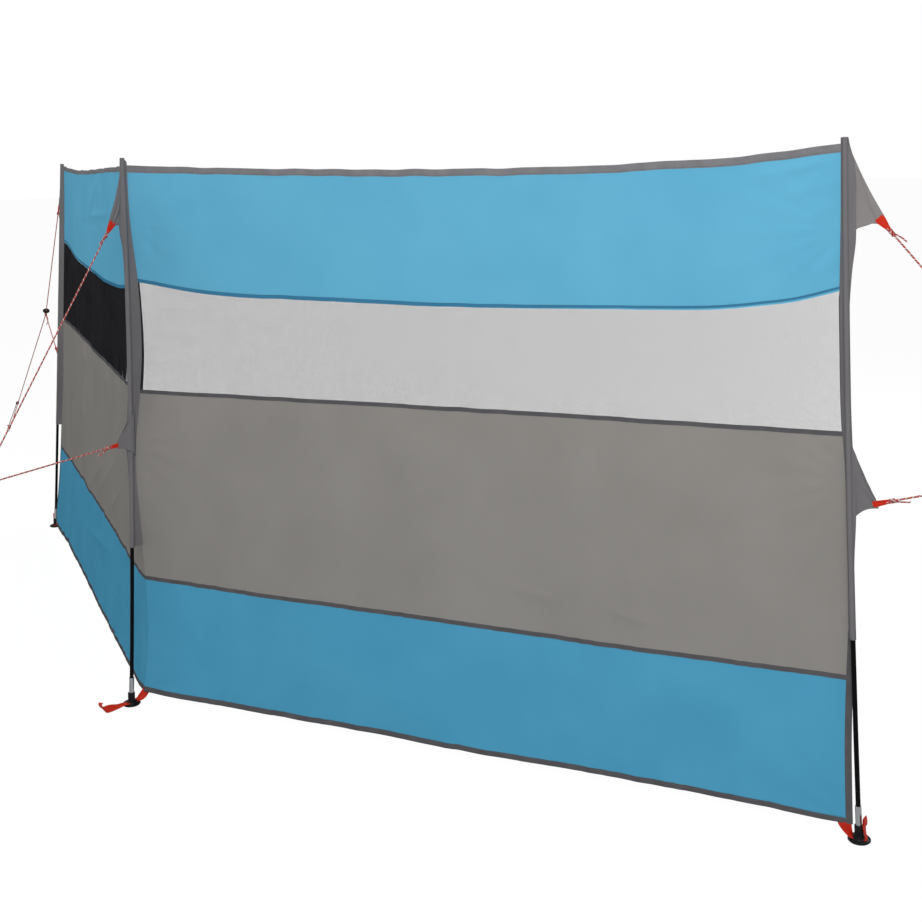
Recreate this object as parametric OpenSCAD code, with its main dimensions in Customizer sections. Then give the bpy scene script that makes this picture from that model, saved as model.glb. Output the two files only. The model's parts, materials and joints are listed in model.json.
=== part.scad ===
// Beach windbreak of two cloth bays on three poles, held up by three guy lines.
// The origin is on the ground under the middle pole, +Z is up, and the windward side faces -Y.
// Every pole has a plane of its own through its guy line: s runs outwards along it, z upwards.

/* [Layout] */
// Cloth width of one bay, from the middle fold to the end seam
bay_w = 1809; // [1200:1:2400]
// Angle between the two bays, seen from above
bay_angle = 139.5; // [110:0.5:170]
// Lean of the end poles towards the sheltered side, in degrees
end_lean = 2.3; // [0:0.1:3]
// Lean of the middle pole towards the sheltered side, in degrees
middle_lean = 0.4; // [0:0.1:2]

/* [Cloth] */
// Height of the bottom hem above the ground
ground_gap = 22; // [20:1:60]
// Width of the tape that binds the bottom edge
hem_w = 15; // [8:1:30]
// Width of the tape that binds the top edge
top_w = 19; // [8:1:30]
// Height of the lower blue band
lower_h = 281; // [180:1:400]
// Height of the grey band
middle_h = 504; // [420:1:700]
// Height of the mesh window
mesh_h = 278; // [150:1:400]
// Height of the upper blue band
upper_h = 294; // [220:1:450]
// Thickness of the cloth
cloth_t = 1; // [0.6:0.1:2]
// Thickness of the bound edges
hem_t = 2.4; // [1.4:0.1:4]
// Sag of the right-hand bay's top edge at mid bay
right_top_sag = 30; // [0:1:80]
// Sag of the left-hand bay's top edge at mid bay
left_top_sag = 12; // [0:1:80]
// Sag of the seam over the mesh window at mid bay
window_sag = 42; // [0:1:60]
// Rise of the bottom edge at mid bay
hem_rise = 4; // [0:1:20]

/* [Poles] */
// Bow of the middle pole away from its guy line
middle_bow = 11; // [1:1:18]
// Bow of an end pole away from its guy line
end_bow = 5; // [1:1:18]
// Diameter of the fibreglass poles
pole_d = 10; // [8:0.5:12]
// Outside diameter of the metal ferrule at the foot of a pole
ferrule_d = 13; // [13:0.5:18]
// Length of the ferrule above the foot
ferrule_show = 38; // [20:1:80]

/* [Feet] */
// Diameter of the foot's disc
foot_d = 46; // [44:1:80]
// Thickness of the disc
disc_h = 5; // [4:0.5:8]
// Height of the foot, up to the rim of its socket
foot_h = 31; // [28:1:45]
// Wall of the socket
socket_wall = 2; // [2:0.5:5]
// Width of the webbing straps
strap_w = 20; // [15:1:24]
// Width of a strap where it is sewn under an end corner of the cloth
corner_w = 30; // [20:1:40]
// Thickness of the webbing
strap_t = 1.8; // [1:0.1:2.2]

/* [Sleeves] */
// Height of the lower end of the sleeves
sleeve_low = 408; // [330:1:480]
// Height of the sleeve's tip above the top hem
sleeve_rise = 18; // [10:1:50]
// Thickness of the sleeve cloth
sleeve_t = 1; // [0.6:0.1:2]
// Distance from the middle pole to the fold between the bays
fin_middle = 32; // [24:1:60]
// Distance from an end pole to the end seam, along the sleeve
fin_end = 8; // [7:1:30]
// The same distance at the bottom corner of the cloth
fin_corner = 24; // [22:1:60]
// Thickness of the sleeve where it is sewn to the cloth
fin_t = 3; // [2:0.2:5]
// Width of the tape on the end edge, under the sleeve
edge_w = 11; // [6:1:14]

/* [Guy flaps] */
// Height of the upper flap's tip
upper_tip_z = 1257; // [1200:1:1290]
// Height of the lower flap's tip
lower_tip_z = 682; // [640:1:740]
// Reach of the upper flap's tip from the axis of an end pole
end_upper_reach = 71; // [45:1:100]
// Reach of the lower flap's tip from the axis of an end pole
end_lower_reach = 54; // [35:1:100]
// Reach of the upper flap's tip from the axis of the middle pole
middle_upper_reach = 39; // [35:1:100]
// Reach of the lower flap's tip from the axis of the middle pole
middle_lower_reach = 38; // [35:1:100]
// Height of an upper flap along the sleeve
upper_flap_h = 146; // [110:1:180]
// Height of a lower flap along the sleeve
lower_flap_h = 128; // [80:1:200]
// Part of the flap's height that lies below its tip
flap_drop = 22; // [15:1:40]
// Thickness of the flap
flap_t = 1.4; // [1:0.1:3]
// Length of the webbing tab at the tip
tab_len = 24; // [15:1:40]

/* [Guy lines] */
// Diameter of the rope
rope_d = 4; // [3:0.5:6]
// Reach of the knot where the two upper ropes meet, on the end poles
end_knot_s = 445; // [380:5:600]
// Height of that knot on the end poles
end_knot_z = 790; // [740:5:900]
// Reach of the knot on the middle pole
middle_knot_s = 390; // [300:5:500]
// Height of the knot on the middle pole
middle_knot_z = 650; // [560:5:720]
// Distance of the peg from an end pole
end_peg_s = 2030; // [1500:10:2700]
// Distance of the peg from the middle pole
middle_peg_s = 1250; // [1000:10:1800]
// Length of the doubled rope between the runner and the peg
loop_len = 480; // [200:10:600]
// Diameter of the disc over the knot
guy_disc_d = 28; // [20:1:40]
// Diameter of the peg
peg_d = 6; // [4:0.5:8]
// Height of the peg's head above the ground
peg_h = 34; // [26:1:60]

/* [Hidden] */
$fn = 48;

// Gap between pieces that seat on each other
clear = 0.3;
// Spans that follow the sag of a cloth edge or the bow of a pole
spans = 14;
// Rows of a cloth band between its two seams
rows = 4;

// Heights of the seams along a pole
hem_top = ground_gap + hem_w;
lower_top = hem_top + lower_h;
middle_top = lower_top + middle_h;
mesh_top = middle_top + mesh_h;
upper_top = mesh_top + upper_h;
cloth_top = upper_top + top_w;
sleeve_top = cloth_top + sleeve_rise;
sleeve_cap = 2;
pole_top = sleeve_top - sleeve_cap - clear;

// Plan of the right-hand bay; the left one is its mirror image
bay_turn = 90 - bay_angle / 2;
bay_dir = [cos(bay_turn), sin(bay_turn)];
bay_out = [sin(bay_turn), -cos(bay_turn)];
fold = [0, fin_middle];
end_foot = fold + (bay_w + fin_end) * bay_dir;

// Foot: the strap runs through a slot in the hub, and the socket starts above it
slot_h = strap_t + 2 * clear + 0.4;
slot_top = disc_h + slot_h;
socket_floor = slot_top + 2.5;
socket_depth = foot_h - socket_floor;
socket_mid = (foot_h + socket_floor) / 2;
ferrule_top = foot_h + ferrule_show;
socket_lean = max(foot_lean("middle"), foot_lean("right"));
socket_play = 0.1 + socket_depth / 2 * tan(socket_lean);
socket_r = ferrule_d / 2 + socket_play;
hub_r = socket_r + socket_wall;
hub_foot_r = max(hub_r, strap_w / 2 + clear) + 4;
ferrule_low = socket_floor + 0.1 + ferrule_d / 2 * tan(socket_lean);
strap_z = disc_h + clear + strap_t / 2;

sleeve_r = pole_d / 2 + clear + sleeve_t;
flap_root = sleeve_r + clear;
knot_r = rope_d * 1.4;
runner_pitch = rope_d + 1.6;
runner_len = 16;
bend_d = rope_d + 0.4;
rope_low = 12;

function mix(a, b, t) = a + (b - a) * t;
function dip(u) = 4 * u * (1 - u);
function unit(v) = v / norm(v);
// Turns a direction of the (s, z) plane by a quarter turn
function across(v) = [-v[1], v[0]];

// Bow of a pole: an arc from the ferrule to the tip, which starts with the foot's tilt
function bow_r(name) =
    pow(pole_top - ferrule_top, 2) / (8 * (name == "middle" ? middle_bow : end_bow));
function bow_angle(name, z) = (z - ferrule_top) / bow_r(name) * 180 / PI;
function foot_tilt(name) = -bow_angle(name, pole_top) / 2 - (name == "middle" ? middle_lean : 0);
function foot_lean(name) = norm([name == "middle" ? 0 : end_lean, foot_tilt(name)]);
// Place of the pole's axis along s at a height
function axis_s(name, z) =
    bow_r(name) * (1 - cos(bow_angle(name, z))) + (z - socket_mid) * sin(foot_tilt(name));

// Places children on a pole: x outwards along its guy line, z up from the ground
module stand(name) {
    if (name == "middle") rotate([0, 0, -90]) children();
    if (name == "right") translate([end_foot[0], end_foot[1], 0]) rotate([0, 0, bay_turn]) children();
    if (name == "left") mirror([1, 0, 0]) stand("right") children();
}

// The same, leaning with the pole about the middle of its socket
module lean(name) {
    turn = name == "middle" ? 0 : -end_lean;
    stand(name) translate([0, 0, socket_mid]) rotate([turn, 0, 0]) translate([0, 0, -socket_mid]) children();
}

// The same, tilted with the foot of the bowed pole
module tilt(name) {
    lean(name) translate([0, 0, socket_mid]) rotate([0, foot_tilt(name), 0])
        translate([0, 0, -socket_mid]) children();
}

// Sweeps an outline across the pole up along its bow
module along(name, low, high) {
    r = bow_r(name);
    from = bow_angle(name, low);
    to = bow_angle(name, high);
    translate([r, 0, ferrule_top]) rotate([90, 0, 0]) rotate([0, 0, 180 - to])
        rotate_extrude(angle = to - from, $fn = ceil(spans * 360 / (to - from)))
            translate([r, 0]) rotate(180) children();
}

// Moves children to a height on the bowed pole and turns them along it
module at(name, z) {
    turn = bow_angle(name, z);
    translate([bow_r(name) * (1 - cos(turn)), 0, ferrule_top + bow_r(name) * sin(turn)])
        rotate([0, turn, 0]) children();
}

// Pushes an outline of the (s, z) plane out to a flat piece
module flat(points, thick) {
    rotate([90, 0, 0]) linear_extrude(height = thick, center = true) polygon(points);
}

// A straight round rod between two points of the (s, z) plane, y0 and y1 beside it
module rod(from, to, d, y0 = 0, y1 = 0) {
    run = [to[0] - from[0], y1 - y0, to[1] - from[1]];
    translate([from[0], y0, from[1]])
        rotate([0, acos(run[2] / norm(run)), atan2(run[1], run[0])])
            cylinder(d = d, h = norm(run));
}

// Poles and feet

module pole(name) {
    color("#141416") tilt(name) along(name, ferrule_low + sleeve_cap, pole_top) circle(d = pole_d, $fn = 48);
}

module ferrule(name) {
    color("#b9bcc0") tilt(name) difference() {
        translate([0, 0, ferrule_low]) cylinder(d = ferrule_d, h = ferrule_top - ferrule_low);
        translate([0, 0, ferrule_low + sleeve_cap - clear])
            cylinder(d = pole_d + 2 * clear, h = ferrule_top);
    }
}

module foot(name) {
    rim = foot_d / 2;
    lip = 1.5;
    color("#17181a") stand(name) difference() {
        rotate_extrude() polygon([
            [0, 0], [rim - lip, 0], [rim, lip], [rim, disc_h - lip], [rim - lip, disc_h],
            [rim - 2 * lip, disc_h - lip], [hub_foot_r + 2 * lip, disc_h - lip / 2],
            [hub_foot_r + lip, disc_h], [hub_foot_r, slot_top - lip / 2],
            [hub_foot_r - lip, slot_top + lip / 2], [hub_r + lip, slot_top + lip],
            [hub_r, slot_top + 2 * lip], [hub_r, foot_h - 1], [hub_r - 1, foot_h],
            [socket_r, foot_h], [socket_r, socket_floor], [0, socket_floor],
        ]);
        translate([-foot_d, -strap_w / 2 - clear, disc_h]) cube([2 * foot_d, strap_w + 2 * clear, slot_h]);
    }
}

// Half width of a strap, turned from across the foot (0) to along the cloth (90), or rolled out of the level
function twist(half, turn) = half * [sin(turn), cos(turn), 0];
function roll(half, turn) = half * [0, cos(turn), sin(turn)];

// Stations of a strap: [s, z, half width]
function strap_corner(mid, wide) = [
    [-mid, ground_gap - clear, twist(wide / 2, 90)],
    [-mid + 1, ground_gap - 6, twist(wide / 2 - 1, 72)],
    [-mid + 4, mix(ground_gap, strap_z, 0.65), twist(strap_w / 2 + 1, 45)],
    [-hub_foot_r - 6, strap_z + 2, twist(strap_w / 2, 14)],
    [-hub_foot_r + 2, strap_z, twist(strap_w / 2, 0)],
    [hub_foot_r, strap_z, twist(strap_w / 2, 0)],
];
// On the end poles the tail stands up beside the ferrule, folded over at its tip
function end_tail() = [
    [hub_foot_r + 3, strap_z + 2, roll(strap_w / 2, 0)],
    [hub_foot_r + 4, strap_z + 12, roll(strap_w / 2 - 1, 0)],
    [hub_foot_r + 2, foot_h + 4, roll(strap_w / 2 - 2, 0)],
    [hub_foot_r + 3, foot_h + 13, roll(strap_w / 2 - 2, 0)],
    [hub_foot_r + 6, foot_h + 16, roll(strap_w / 2 - 2, 0)],
    [hub_foot_r + 9, foot_h + 8, roll(strap_w / 2 - 2, 0)],
];
// On the middle pole the tail lies on the ground and turns up at its end
function middle_tail() = [
    [foot_d / 2 + 2, strap_z + 0.5, roll(strap_w / 2 - 2, 0)],
    [foot_d / 2 + 15, 4.5, roll(strap_w / 2 - 3, 8)],
    [foot_d / 2 + 32, 5.5, roll(strap_w / 2 - 1, 16)],
    [foot_d / 2 + 44, 5, roll(strap_w / 2, 10)],
    [foot_d / 2 + 50, 7, roll(strap_w / 2, 4)],
    [foot_d / 2 + 54, 15, roll(strap_w / 2, 0)],
    [foot_d / 2 + 57, 25, roll(strap_w / 2, 0)],
];

function strap_ring(path, i) =
    let (here = path[i], back = path[max(i - 1, 0)], ahead = path[min(i + 1, len(path) - 1)])
    let (way = [ahead[0] - back[0], 0, ahead[1] - back[1]], mid = [here[0], 0, here[1]], wide = here[2])
    let (deep = strap_t / 2 * unit(cross(way, wide)))
    [mid - wide - deep, mid + wide - deep, mid + wide + deep, mid - wide + deep];

// Joins rings of as many points each to a closed skin; half of a ring lies opposite the other half
module loft(rings) {
    sides = len(rings[0]);
    last = len(rings) - 1;
    points = [for (ring = rings) for (p = ring) p];
    skin = [
        for (i = [0 : last - 1]) for (k = [0 : sides - 1])
            let (a = i * sides + k, b = i * sides + (k + 1) % sides)
            for (face = [[a, b, b + sides], [a, b + sides, a + sides]]) face
    ];
    caps = [
        for (k = [0 : sides / 2 - 2]) let (cap = [k, k + 1, sides - 2 - k, sides - 1 - k])
            for (face = [[cap[3], cap[2], cap[1], cap[0]], [for (i = cap) last * sides + i]]) face
    ];
    polyhedron(points, concat(skin, caps));
}

module foot_strap(name) {
    path = name == "middle"
        ? concat(strap_corner(fin_middle + 4, strap_w), middle_tail())
        : concat(strap_corner(fin_corner + 6, corner_w), end_tail());
    color("#c22a14") stand(name) loft([for (i = [0 : len(path) - 1]) strap_ring(path, i)]);
}

// Sleeves and guy flaps

// Section of a sleeve: round over the pole, flat where it is sewn to the cloth
module sleeve_outline(fin) {
    circle(r = sleeve_r, $fn = 48);
    polygon([[0, sleeve_r], [-fin, fin_t / 2], [-fin, -fin_t / 2], [0, -sleeve_r]]);
}

module sleeve(name) {
    fin = name == "middle" ? fin_middle - fin_t / 2 : fin_end - clear;
    slope = atan(sleeve_rise / fin_middle);
    color("#58585a") tilt(name) difference() {
        along(name, sleeve_low, sleeve_top) sleeve_outline(fin);
        along(name, sleeve_low - 1, sleeve_top - sleeve_cap) circle(d = pole_d + 2 * clear, $fn = 48);
        // The closed tip slopes down towards the cloth
        at(name, sleeve_top) translate([-sleeve_r, 0, 0]) rotate([0, -slope, 0])
            translate([-2 * fin, -fin - sleeve_r, 0]) cube(2 * (fin + sleeve_r));
    }
}

// Outline of a flap with its tip cut square to the rope that pulls it
function flap_outline(name, tip, knot, flap_h) =
    let (pull = unit(knot - tip), half = strap_w / 2 * across(pull), z = tip[1] - flap_drop)
    let (low = [flap_root + axis_s(name, z), z], corner = tip - half)
    let (belly = mix(low, corner, 0.5) + [-2, 5])
    concat(
        [[flap_root + axis_s(name, z + flap_h), z + flap_h], tip + half],
        [for (t = [0 : 0.125 : 1]) mix(mix(corner, belly, t), mix(belly, low, t), t)]
    );

// Webbing tab that narrows from the flap's tip to the rope
function tab_outline(tip, knot) =
    let (pull = unit(knot - tip), side = across(pull), root = tip + clear * pull)
    let (nose = tip + tab_len * pull, narrow = rope_d)
    [root + strap_w / 2 * side, nose + narrow * side, nose - narrow * side, root - strap_w / 2 * side];

function upper_tip(name) =
    [axis_s(name, upper_tip_z) + (name == "middle" ? middle_upper_reach : end_upper_reach), upper_tip_z];
function lower_tip(name) =
    [axis_s(name, lower_tip_z) + (name == "middle" ? middle_lower_reach : end_lower_reach), lower_tip_z];
function knot_of(name) = name == "middle" ? [middle_knot_s, middle_knot_z] : [end_knot_s, end_knot_z];
function peg_of(name) = name == "middle" ? middle_peg_s : end_peg_s;

module guy_flaps(name) {
    color("#8a8482") lean(name) {
        flat(flap_outline(name, upper_tip(name), knot_of(name), upper_flap_h), flap_t);
        flat(flap_outline(name, lower_tip(name), knot_of(name), lower_flap_h), flap_t);
    }
}

module guy_tabs(name) {
    color("#c22a14") lean(name)
        for (tip = [upper_tip(name), lower_tip(name)]) flat(tab_outline(tip, knot_of(name)), 2 * strap_t);
}

// Guy lines

// Where the doubled end of the rope turns round the peg, and how wide that turn is
function rope_end(name) = [peg_of(name), rope_low];
function rope_up(name) = unit(knot_of(name) - rope_end(name));
function loop_r(name) = (peg_d / 2 + bend_d / 2 + clear) / -rope_up(name)[0];
// Where the runner sits on the doubled rope, and how far the rope lies beside the guy's plane there
function runner_place(name) = rope_end(name) + loop_len * rope_up(name);
function runner_side(name) =
    loop_r(name) * (1 - loop_len / norm(knot_of(name) - rope_end(name)));

// A rope from a tab to the knot; it stops short of the knot's ball
module branch(tip, knot) {
    pull = unit(knot - tip);
    rod(tip + (tab_len + clear) * pull, knot - (knot_r + clear) * pull, rope_d);
}

module guy_line(name) {
    knot = knot_of(name);
    hook = rope_end(name);
    up = rope_up(name);
    turn = loop_r(name);
    back = runner_side(name) - runner_pitch;
    stop = runner_place(name) + (runner_len / 2 + knot_r) * up;
    color("#b4605a") lean(name) {
        for (tip = [upper_tip(name), lower_tip(name)]) branch(tip, knot);
        translate([knot[0], 0, knot[1]]) sphere(r = knot_r);
        rod(knot, hook - up, rope_d, 0, turn);
        rod(stop, hook - up, rope_d, back, -turn);
        translate([stop[0], back, stop[1]]) sphere(r = knot_r * 0.8);
        translate([hook[0], 0, hook[1]]) rotate([0, -atan2(up[1], up[0]), 0])
            rotate([0, 0, 90]) rotate_extrude(angle = 180) translate([turn, 0]) circle(d = bend_d);
    }
}

// Turned disc that the upper rope runs through, just over the knot
module guy_disc(name) {
    knot = knot_of(name);
    pull = unit(knot - upper_tip(name));
    place = knot - (knot_r + guy_disc_d / 2) * pull;
    edge = 1;
    thick = rope_d;
    color("#202124") lean(name) translate([place[0], 0, place[1]])
        rotate([0, atan2(-pull[0], -pull[1]), 0]) rotate_extrude() polygon([
            [rope_d / 2 + clear, 0], [guy_disc_d / 2 - edge, 0], [guy_disc_d / 2, edge],
            [guy_disc_d / 2, thick - edge], [guy_disc_d / 2 - edge, thick], [rope_d / 2 + clear, thick],
        ]);
}

// Runner with two bores, one for each side of the loop
module guy_runner(name) {
    place = runner_place(name);
    up = rope_up(name);
    wall = 3;
    bores = [-runner_pitch / 2, runner_pitch / 2];
    color("#202124") lean(name) translate([place[0], runner_side(name) - runner_pitch / 2, place[1]])
        rotate([0, atan2(up[0], up[1]), 0]) translate([0, 0, -runner_len / 2])
            linear_extrude(height = runner_len) difference() {
                union() {
                    for (y = bores) translate([0, y]) circle(r = rope_d / 2 + wall);
                    square([rope_d + 2 * wall, runner_pitch], center = true);
                }
                for (y = bores) translate([0, y]) circle(r = rope_d / 2 + clear);
            }
}

// Round-headed pin, from the ground up
module guy_peg(name) {
    shaft = peg_d / 2;
    head = peg_d * 1.6;
    color("#9a9da1") stand(name) translate([peg_of(name), 0, 0]) rotate_extrude() polygon([
        [0, 0], [shaft, 0], [shaft, peg_h - 5], [head, peg_h - 4], [head, peg_h - 2],
        [head - 2, peg_h], [0, peg_h],
    ]);
}

// Cloth bays

// Points of the right-hand bay: u from the fold to the end seam, z up along the poles
function end_fin(z) = mix(fin_corner, fin_end, min((z - ground_gap) / (sleeve_low - ground_gap), 1));
function end_seam(z) =
    let (drift = (z - socket_mid) * sin(end_lean), rise = socket_mid + (z - socket_mid) * cos(end_lean))
    let (plan = end_foot + (axis_s("right", z) - end_fin(z)) * bay_dir - drift * bay_out)
    [plan[0], plan[1], rise];
function fold_seam(z) =
    [clear * bay_dir[0] + cloth_t / 2, fold[1] - axis_s("middle", z) + clear * bay_dir[1], z];
function bay_point(u, z, out) = mix(fold_seam(z), end_seam(z), u) + out * [bay_out[0], bay_out[1], 0];

// A strip of one bay between two seams, each with its own sag at mid bay
module strip(side, low, high, low_sag, high_sag, thick) {
    half = thick / 2;
    rings = [
        for (i = [0 : spans])
            let (u = i / spans, z0 = low - low_sag * dip(u), z1 = high - high_sag * dip(u))
            concat([for (k = [0 : rows]) bay_point(u, mix(z0, z1, k / rows), half)],
                   [for (k = [rows : -1 : 0]) bay_point(u, mix(z0, z1, k / rows), -half)])
    ];
    if (side == "right") loft(rings);
    if (side == "left") mirror([1, 0, 0]) loft(rings);
}

function top_sag(side) = side == "left" ? left_top_sag : right_top_sag;

module upper_panel(side) {
    color("#5ba9cd") strip(side, mesh_top, upper_top, window_sag, top_sag(side), cloth_t);
}

module mesh_window(side) {
    color("#2c2c2e") strip(side, middle_top, mesh_top, 0, window_sag, cloth_t);
}

module middle_panel(side) {
    color("#848280") strip(side, lower_top, middle_top, 0, 0, cloth_t);
}

module lower_panel(side) {
    color("#458eb0") strip(side, hem_top, lower_top, -hem_rise, 0, cloth_t);
}

module top_binding(side) {
    color("#6f767d") strip(side, upper_top, cloth_top, top_sag(side), top_sag(side), hem_t);
}

// Section of the end tape at a height; near the sleeve the pole leaves less room for it
function edge_ring(z) =
    let (back = clear - end_fin(z), front = min(back + edge_w, -pole_d / 2 - clear))
    let (s0 = axis_s("right", z) + back, s1 = axis_s("right", z) + front, half = hem_t / 2)
    [[s0, half, z], [s1, half, z], [s1, -half, z], [s0, -half, z]];

// Tape along the bottom edge, and up the end edge as far as the sleeve
module hem_binding(side) {
    color("#6f767d") {
        strip(side, ground_gap, hem_top, -hem_rise, -hem_rise, hem_t);
        lean(side) loft([for (k = [0 : rows]) edge_ring(mix(ground_gap, sleeve_low - clear, k / rows))]);
    }
}

pole("left");  // left_pole
ferrule("left");  // left_ferrule
foot("left");  // left_foot
foot_strap("left");  // left_foot_strap
sleeve("left");  // left_sleeve
guy_flaps("left");  // left_guy_flaps
guy_tabs("left");  // left_guy_tabs
guy_line("left");  // left_guy_line
guy_disc("left");  // left_guy_disc
guy_runner("left");  // left_guy_runner
guy_peg("left");  // left_guy_peg
pole("middle");  // middle_pole
ferrule("middle");  // middle_ferrule
foot("middle");  // middle_foot
foot_strap("middle");  // middle_foot_strap
sleeve("middle");  // middle_sleeve
guy_flaps("middle");  // middle_guy_flaps
guy_tabs("middle");  // middle_guy_tabs
guy_line("middle");  // middle_guy_line
guy_disc("middle");  // middle_guy_disc
guy_runner("middle");  // middle_guy_runner
guy_peg("middle");  // middle_guy_peg
pole("right");  // right_pole
ferrule("right");  // right_ferrule
foot("right");  // right_foot
foot_strap("right");  // right_foot_strap
sleeve("right");  // right_sleeve
guy_flaps("right");  // right_guy_flaps
guy_tabs("right");  // right_guy_tabs
guy_line("right");  // right_guy_line
guy_disc("right");  // right_guy_disc
guy_runner("right");  // right_guy_runner
guy_peg("right");  // right_guy_peg
upper_panel("left");  // left_upper_panel
mesh_window("left");  // left_mesh_window
middle_panel("left");  // left_middle_panel
lower_panel("left");  // left_lower_panel
top_binding("left");  // left_top_binding
hem_binding("left");  // left_hem_binding
upper_panel("right");  // right_upper_panel
mesh_window("right");  // right_mesh_window
middle_panel("right");  // right_middle_panel
lower_panel("right");  // right_lower_panel
top_binding("right");  // right_top_binding
hem_binding("right");  // right_hem_binding
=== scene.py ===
# %% [markdown]
# # Beach windbreak
# Two cloth bays stand on three thin poles, and three guy lines keep them taut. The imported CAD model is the
# frame: its poles, ferrules, feet, discs, runners and pegs stay as they are and get finishes, while the
# cloth, the net, the sleeves, the webbing and the ropes are modelled here over their plain solids.

# %% Load the frame
import json
from math import cos, pi, radians, sin

import bmesh
import bpy
import numpy as np
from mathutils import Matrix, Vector

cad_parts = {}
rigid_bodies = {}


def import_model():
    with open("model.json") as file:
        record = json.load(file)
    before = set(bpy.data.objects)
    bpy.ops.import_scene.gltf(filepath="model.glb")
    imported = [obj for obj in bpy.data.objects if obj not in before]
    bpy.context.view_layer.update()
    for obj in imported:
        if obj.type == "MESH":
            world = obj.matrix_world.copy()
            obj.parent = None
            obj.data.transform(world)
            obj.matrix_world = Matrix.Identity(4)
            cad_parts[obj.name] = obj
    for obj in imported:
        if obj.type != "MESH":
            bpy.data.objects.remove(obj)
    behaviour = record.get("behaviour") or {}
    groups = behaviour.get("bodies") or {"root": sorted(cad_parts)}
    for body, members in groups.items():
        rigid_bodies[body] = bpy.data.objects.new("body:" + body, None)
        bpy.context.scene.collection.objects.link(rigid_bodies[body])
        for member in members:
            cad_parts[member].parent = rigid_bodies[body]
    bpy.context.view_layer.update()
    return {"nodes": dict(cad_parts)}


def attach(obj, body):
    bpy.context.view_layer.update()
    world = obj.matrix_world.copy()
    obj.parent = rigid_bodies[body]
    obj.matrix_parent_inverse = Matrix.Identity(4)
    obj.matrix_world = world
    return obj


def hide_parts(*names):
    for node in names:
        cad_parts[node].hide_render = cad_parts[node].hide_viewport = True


for thing in list(bpy.data.objects):
    bpy.data.objects.remove(thing)
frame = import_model()
nodes = frame["nodes"]

# %% [markdown]
# ## Camera
# The photograph was taken from beyond the right-hand end, with the camera level and turned 45 degrees. Its
# frame hangs far below its horizon, so the lens is shifted instead of tilted: that keeps the poles upright.
# The whole camera is rolled by a little over a degree, as one on a tripod set by eye often is.

# %% Camera
MM = 0.001
PHOTO_PX = 922
FOCAL_PX = 1257.0
HORIZON_PX = 161.8
SENSOR = 36.0
CAMERA_AT = (2.9638, -1.6933, 1.3984)
CAMERA_TURN, CAMERA_ROLL = radians(45.007), radians(1.433)

lens = bpy.data.cameras.new("camera")
lens.sensor_width = SENSOR
lens.lens = SENSOR * FOCAL_PX / PHOTO_PX
lens.shift_y = (HORIZON_PX - PHOTO_PX / 2) / PHOTO_PX
lens.clip_end = 200
camera = bpy.data.objects.new("camera", lens)
camera.location = CAMERA_AT
camera.rotation_euler = (radians(90), CAMERA_ROLL, CAMERA_TURN)
bpy.context.scene.collection.objects.link(camera)
bpy.context.scene.camera = camera
print("camera: lens %.1f mm, shift %.3f" % (lens.lens, lens.shift_y))

# %% [markdown]
# ## Sizes
# These are the driving sizes of the CAD model, in metres. Each pole has a plane of its own: s runs outwards
# along its guy line, y across it and z up. The poles bow a little away from their guys, as thin rods do
# under load, and the end poles also lean towards the sheltered side.

# %% Sizes of the poles and bays
POLES = ("left", "middle", "right")
SIDES = ("left", "right")
BAY_W, FIN_MIDDLE, FIN_END = 1809 * MM, 32 * MM, 8 * MM
BAY_TURN = radians(90 - 139.5 / 2)
END_LEAN, MIDDLE_LEAN = radians(2.3), radians(0.4)
BOW = {"left": 5 * MM, "middle": 11 * MM, "right": 5 * MM}
SOCKET_MID, FERRULE_TOP = 20.65 * MM, 69 * MM
SLEEVE_LOW, SLEEVE_TOP = 408 * MM, 1431 * MM
POLE_TOP = SLEEVE_TOP - 2.3 * MM
POLE_R = 5 * MM

BAY_DIR = np.array([cos(BAY_TURN), sin(BAY_TURN), 0])
BAY_OUT = np.array([sin(BAY_TURN), -cos(BAY_TURN), 0])
END_FOOT = np.array([0, FIN_MIDDLE, 0]) + (BAY_W + FIN_END) * BAY_DIR
BOW_R = {name: (POLE_TOP - FERRULE_TOP) ** 2 / (8 * bow) for name, bow in BOW.items()}
FOOT_TILT = {name: -(POLE_TOP - FERRULE_TOP) / (2 * r) - (MIDDLE_LEAN if name == "middle" else 0)
             for name, r in BOW_R.items()}


def axis_s(name, z):
    """Place of a bowed pole's axis along s, at a height."""
    return (z - FERRULE_TOP) ** 2 / (2 * BOW_R[name]) + (z - SOCKET_MID) * sin(FOOT_TILT[name])


def handed(name, p):
    """Mirrors what belongs to the left end; both ends are worked out as the right one."""
    return p * [-1, 1, 1] if name == "left" else p


def on_pole(name, s, y, z):
    """Points of a pole's own plane in the frame of the whole windbreak."""
    s, y, z = np.broadcast_arrays(*(np.asarray(v, float) for v in (s, y, z)))
    if name == "middle":
        return np.stack([y, -s, z], -1)
    up = z - SOCKET_MID
    across = y * cos(END_LEAN) + up * sin(END_LEAN)
    rise = SOCKET_MID + up * cos(END_LEAN) - y * sin(END_LEAN)
    p = END_FOOT + s[..., None] * BAY_DIR - across[..., None] * BAY_OUT
    p[..., 2] = rise
    return handed(name, p)


print("right foot at", np.round(END_FOOT, 3))
print("its sleeve's tip at", on_pole("right", 0, 0, SLEEVE_TOP).round(3))

# %% [markdown]
# ## Building meshes
# Cloth, tape, webbing and rope are all the same kind of shape: a ring of points that is carried along a
# path. One small class collects such lofts and turns them into one closed mesh, with UVs in metres, so that
# every weave can be drawn at its real size.

# %% A loft builder


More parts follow.
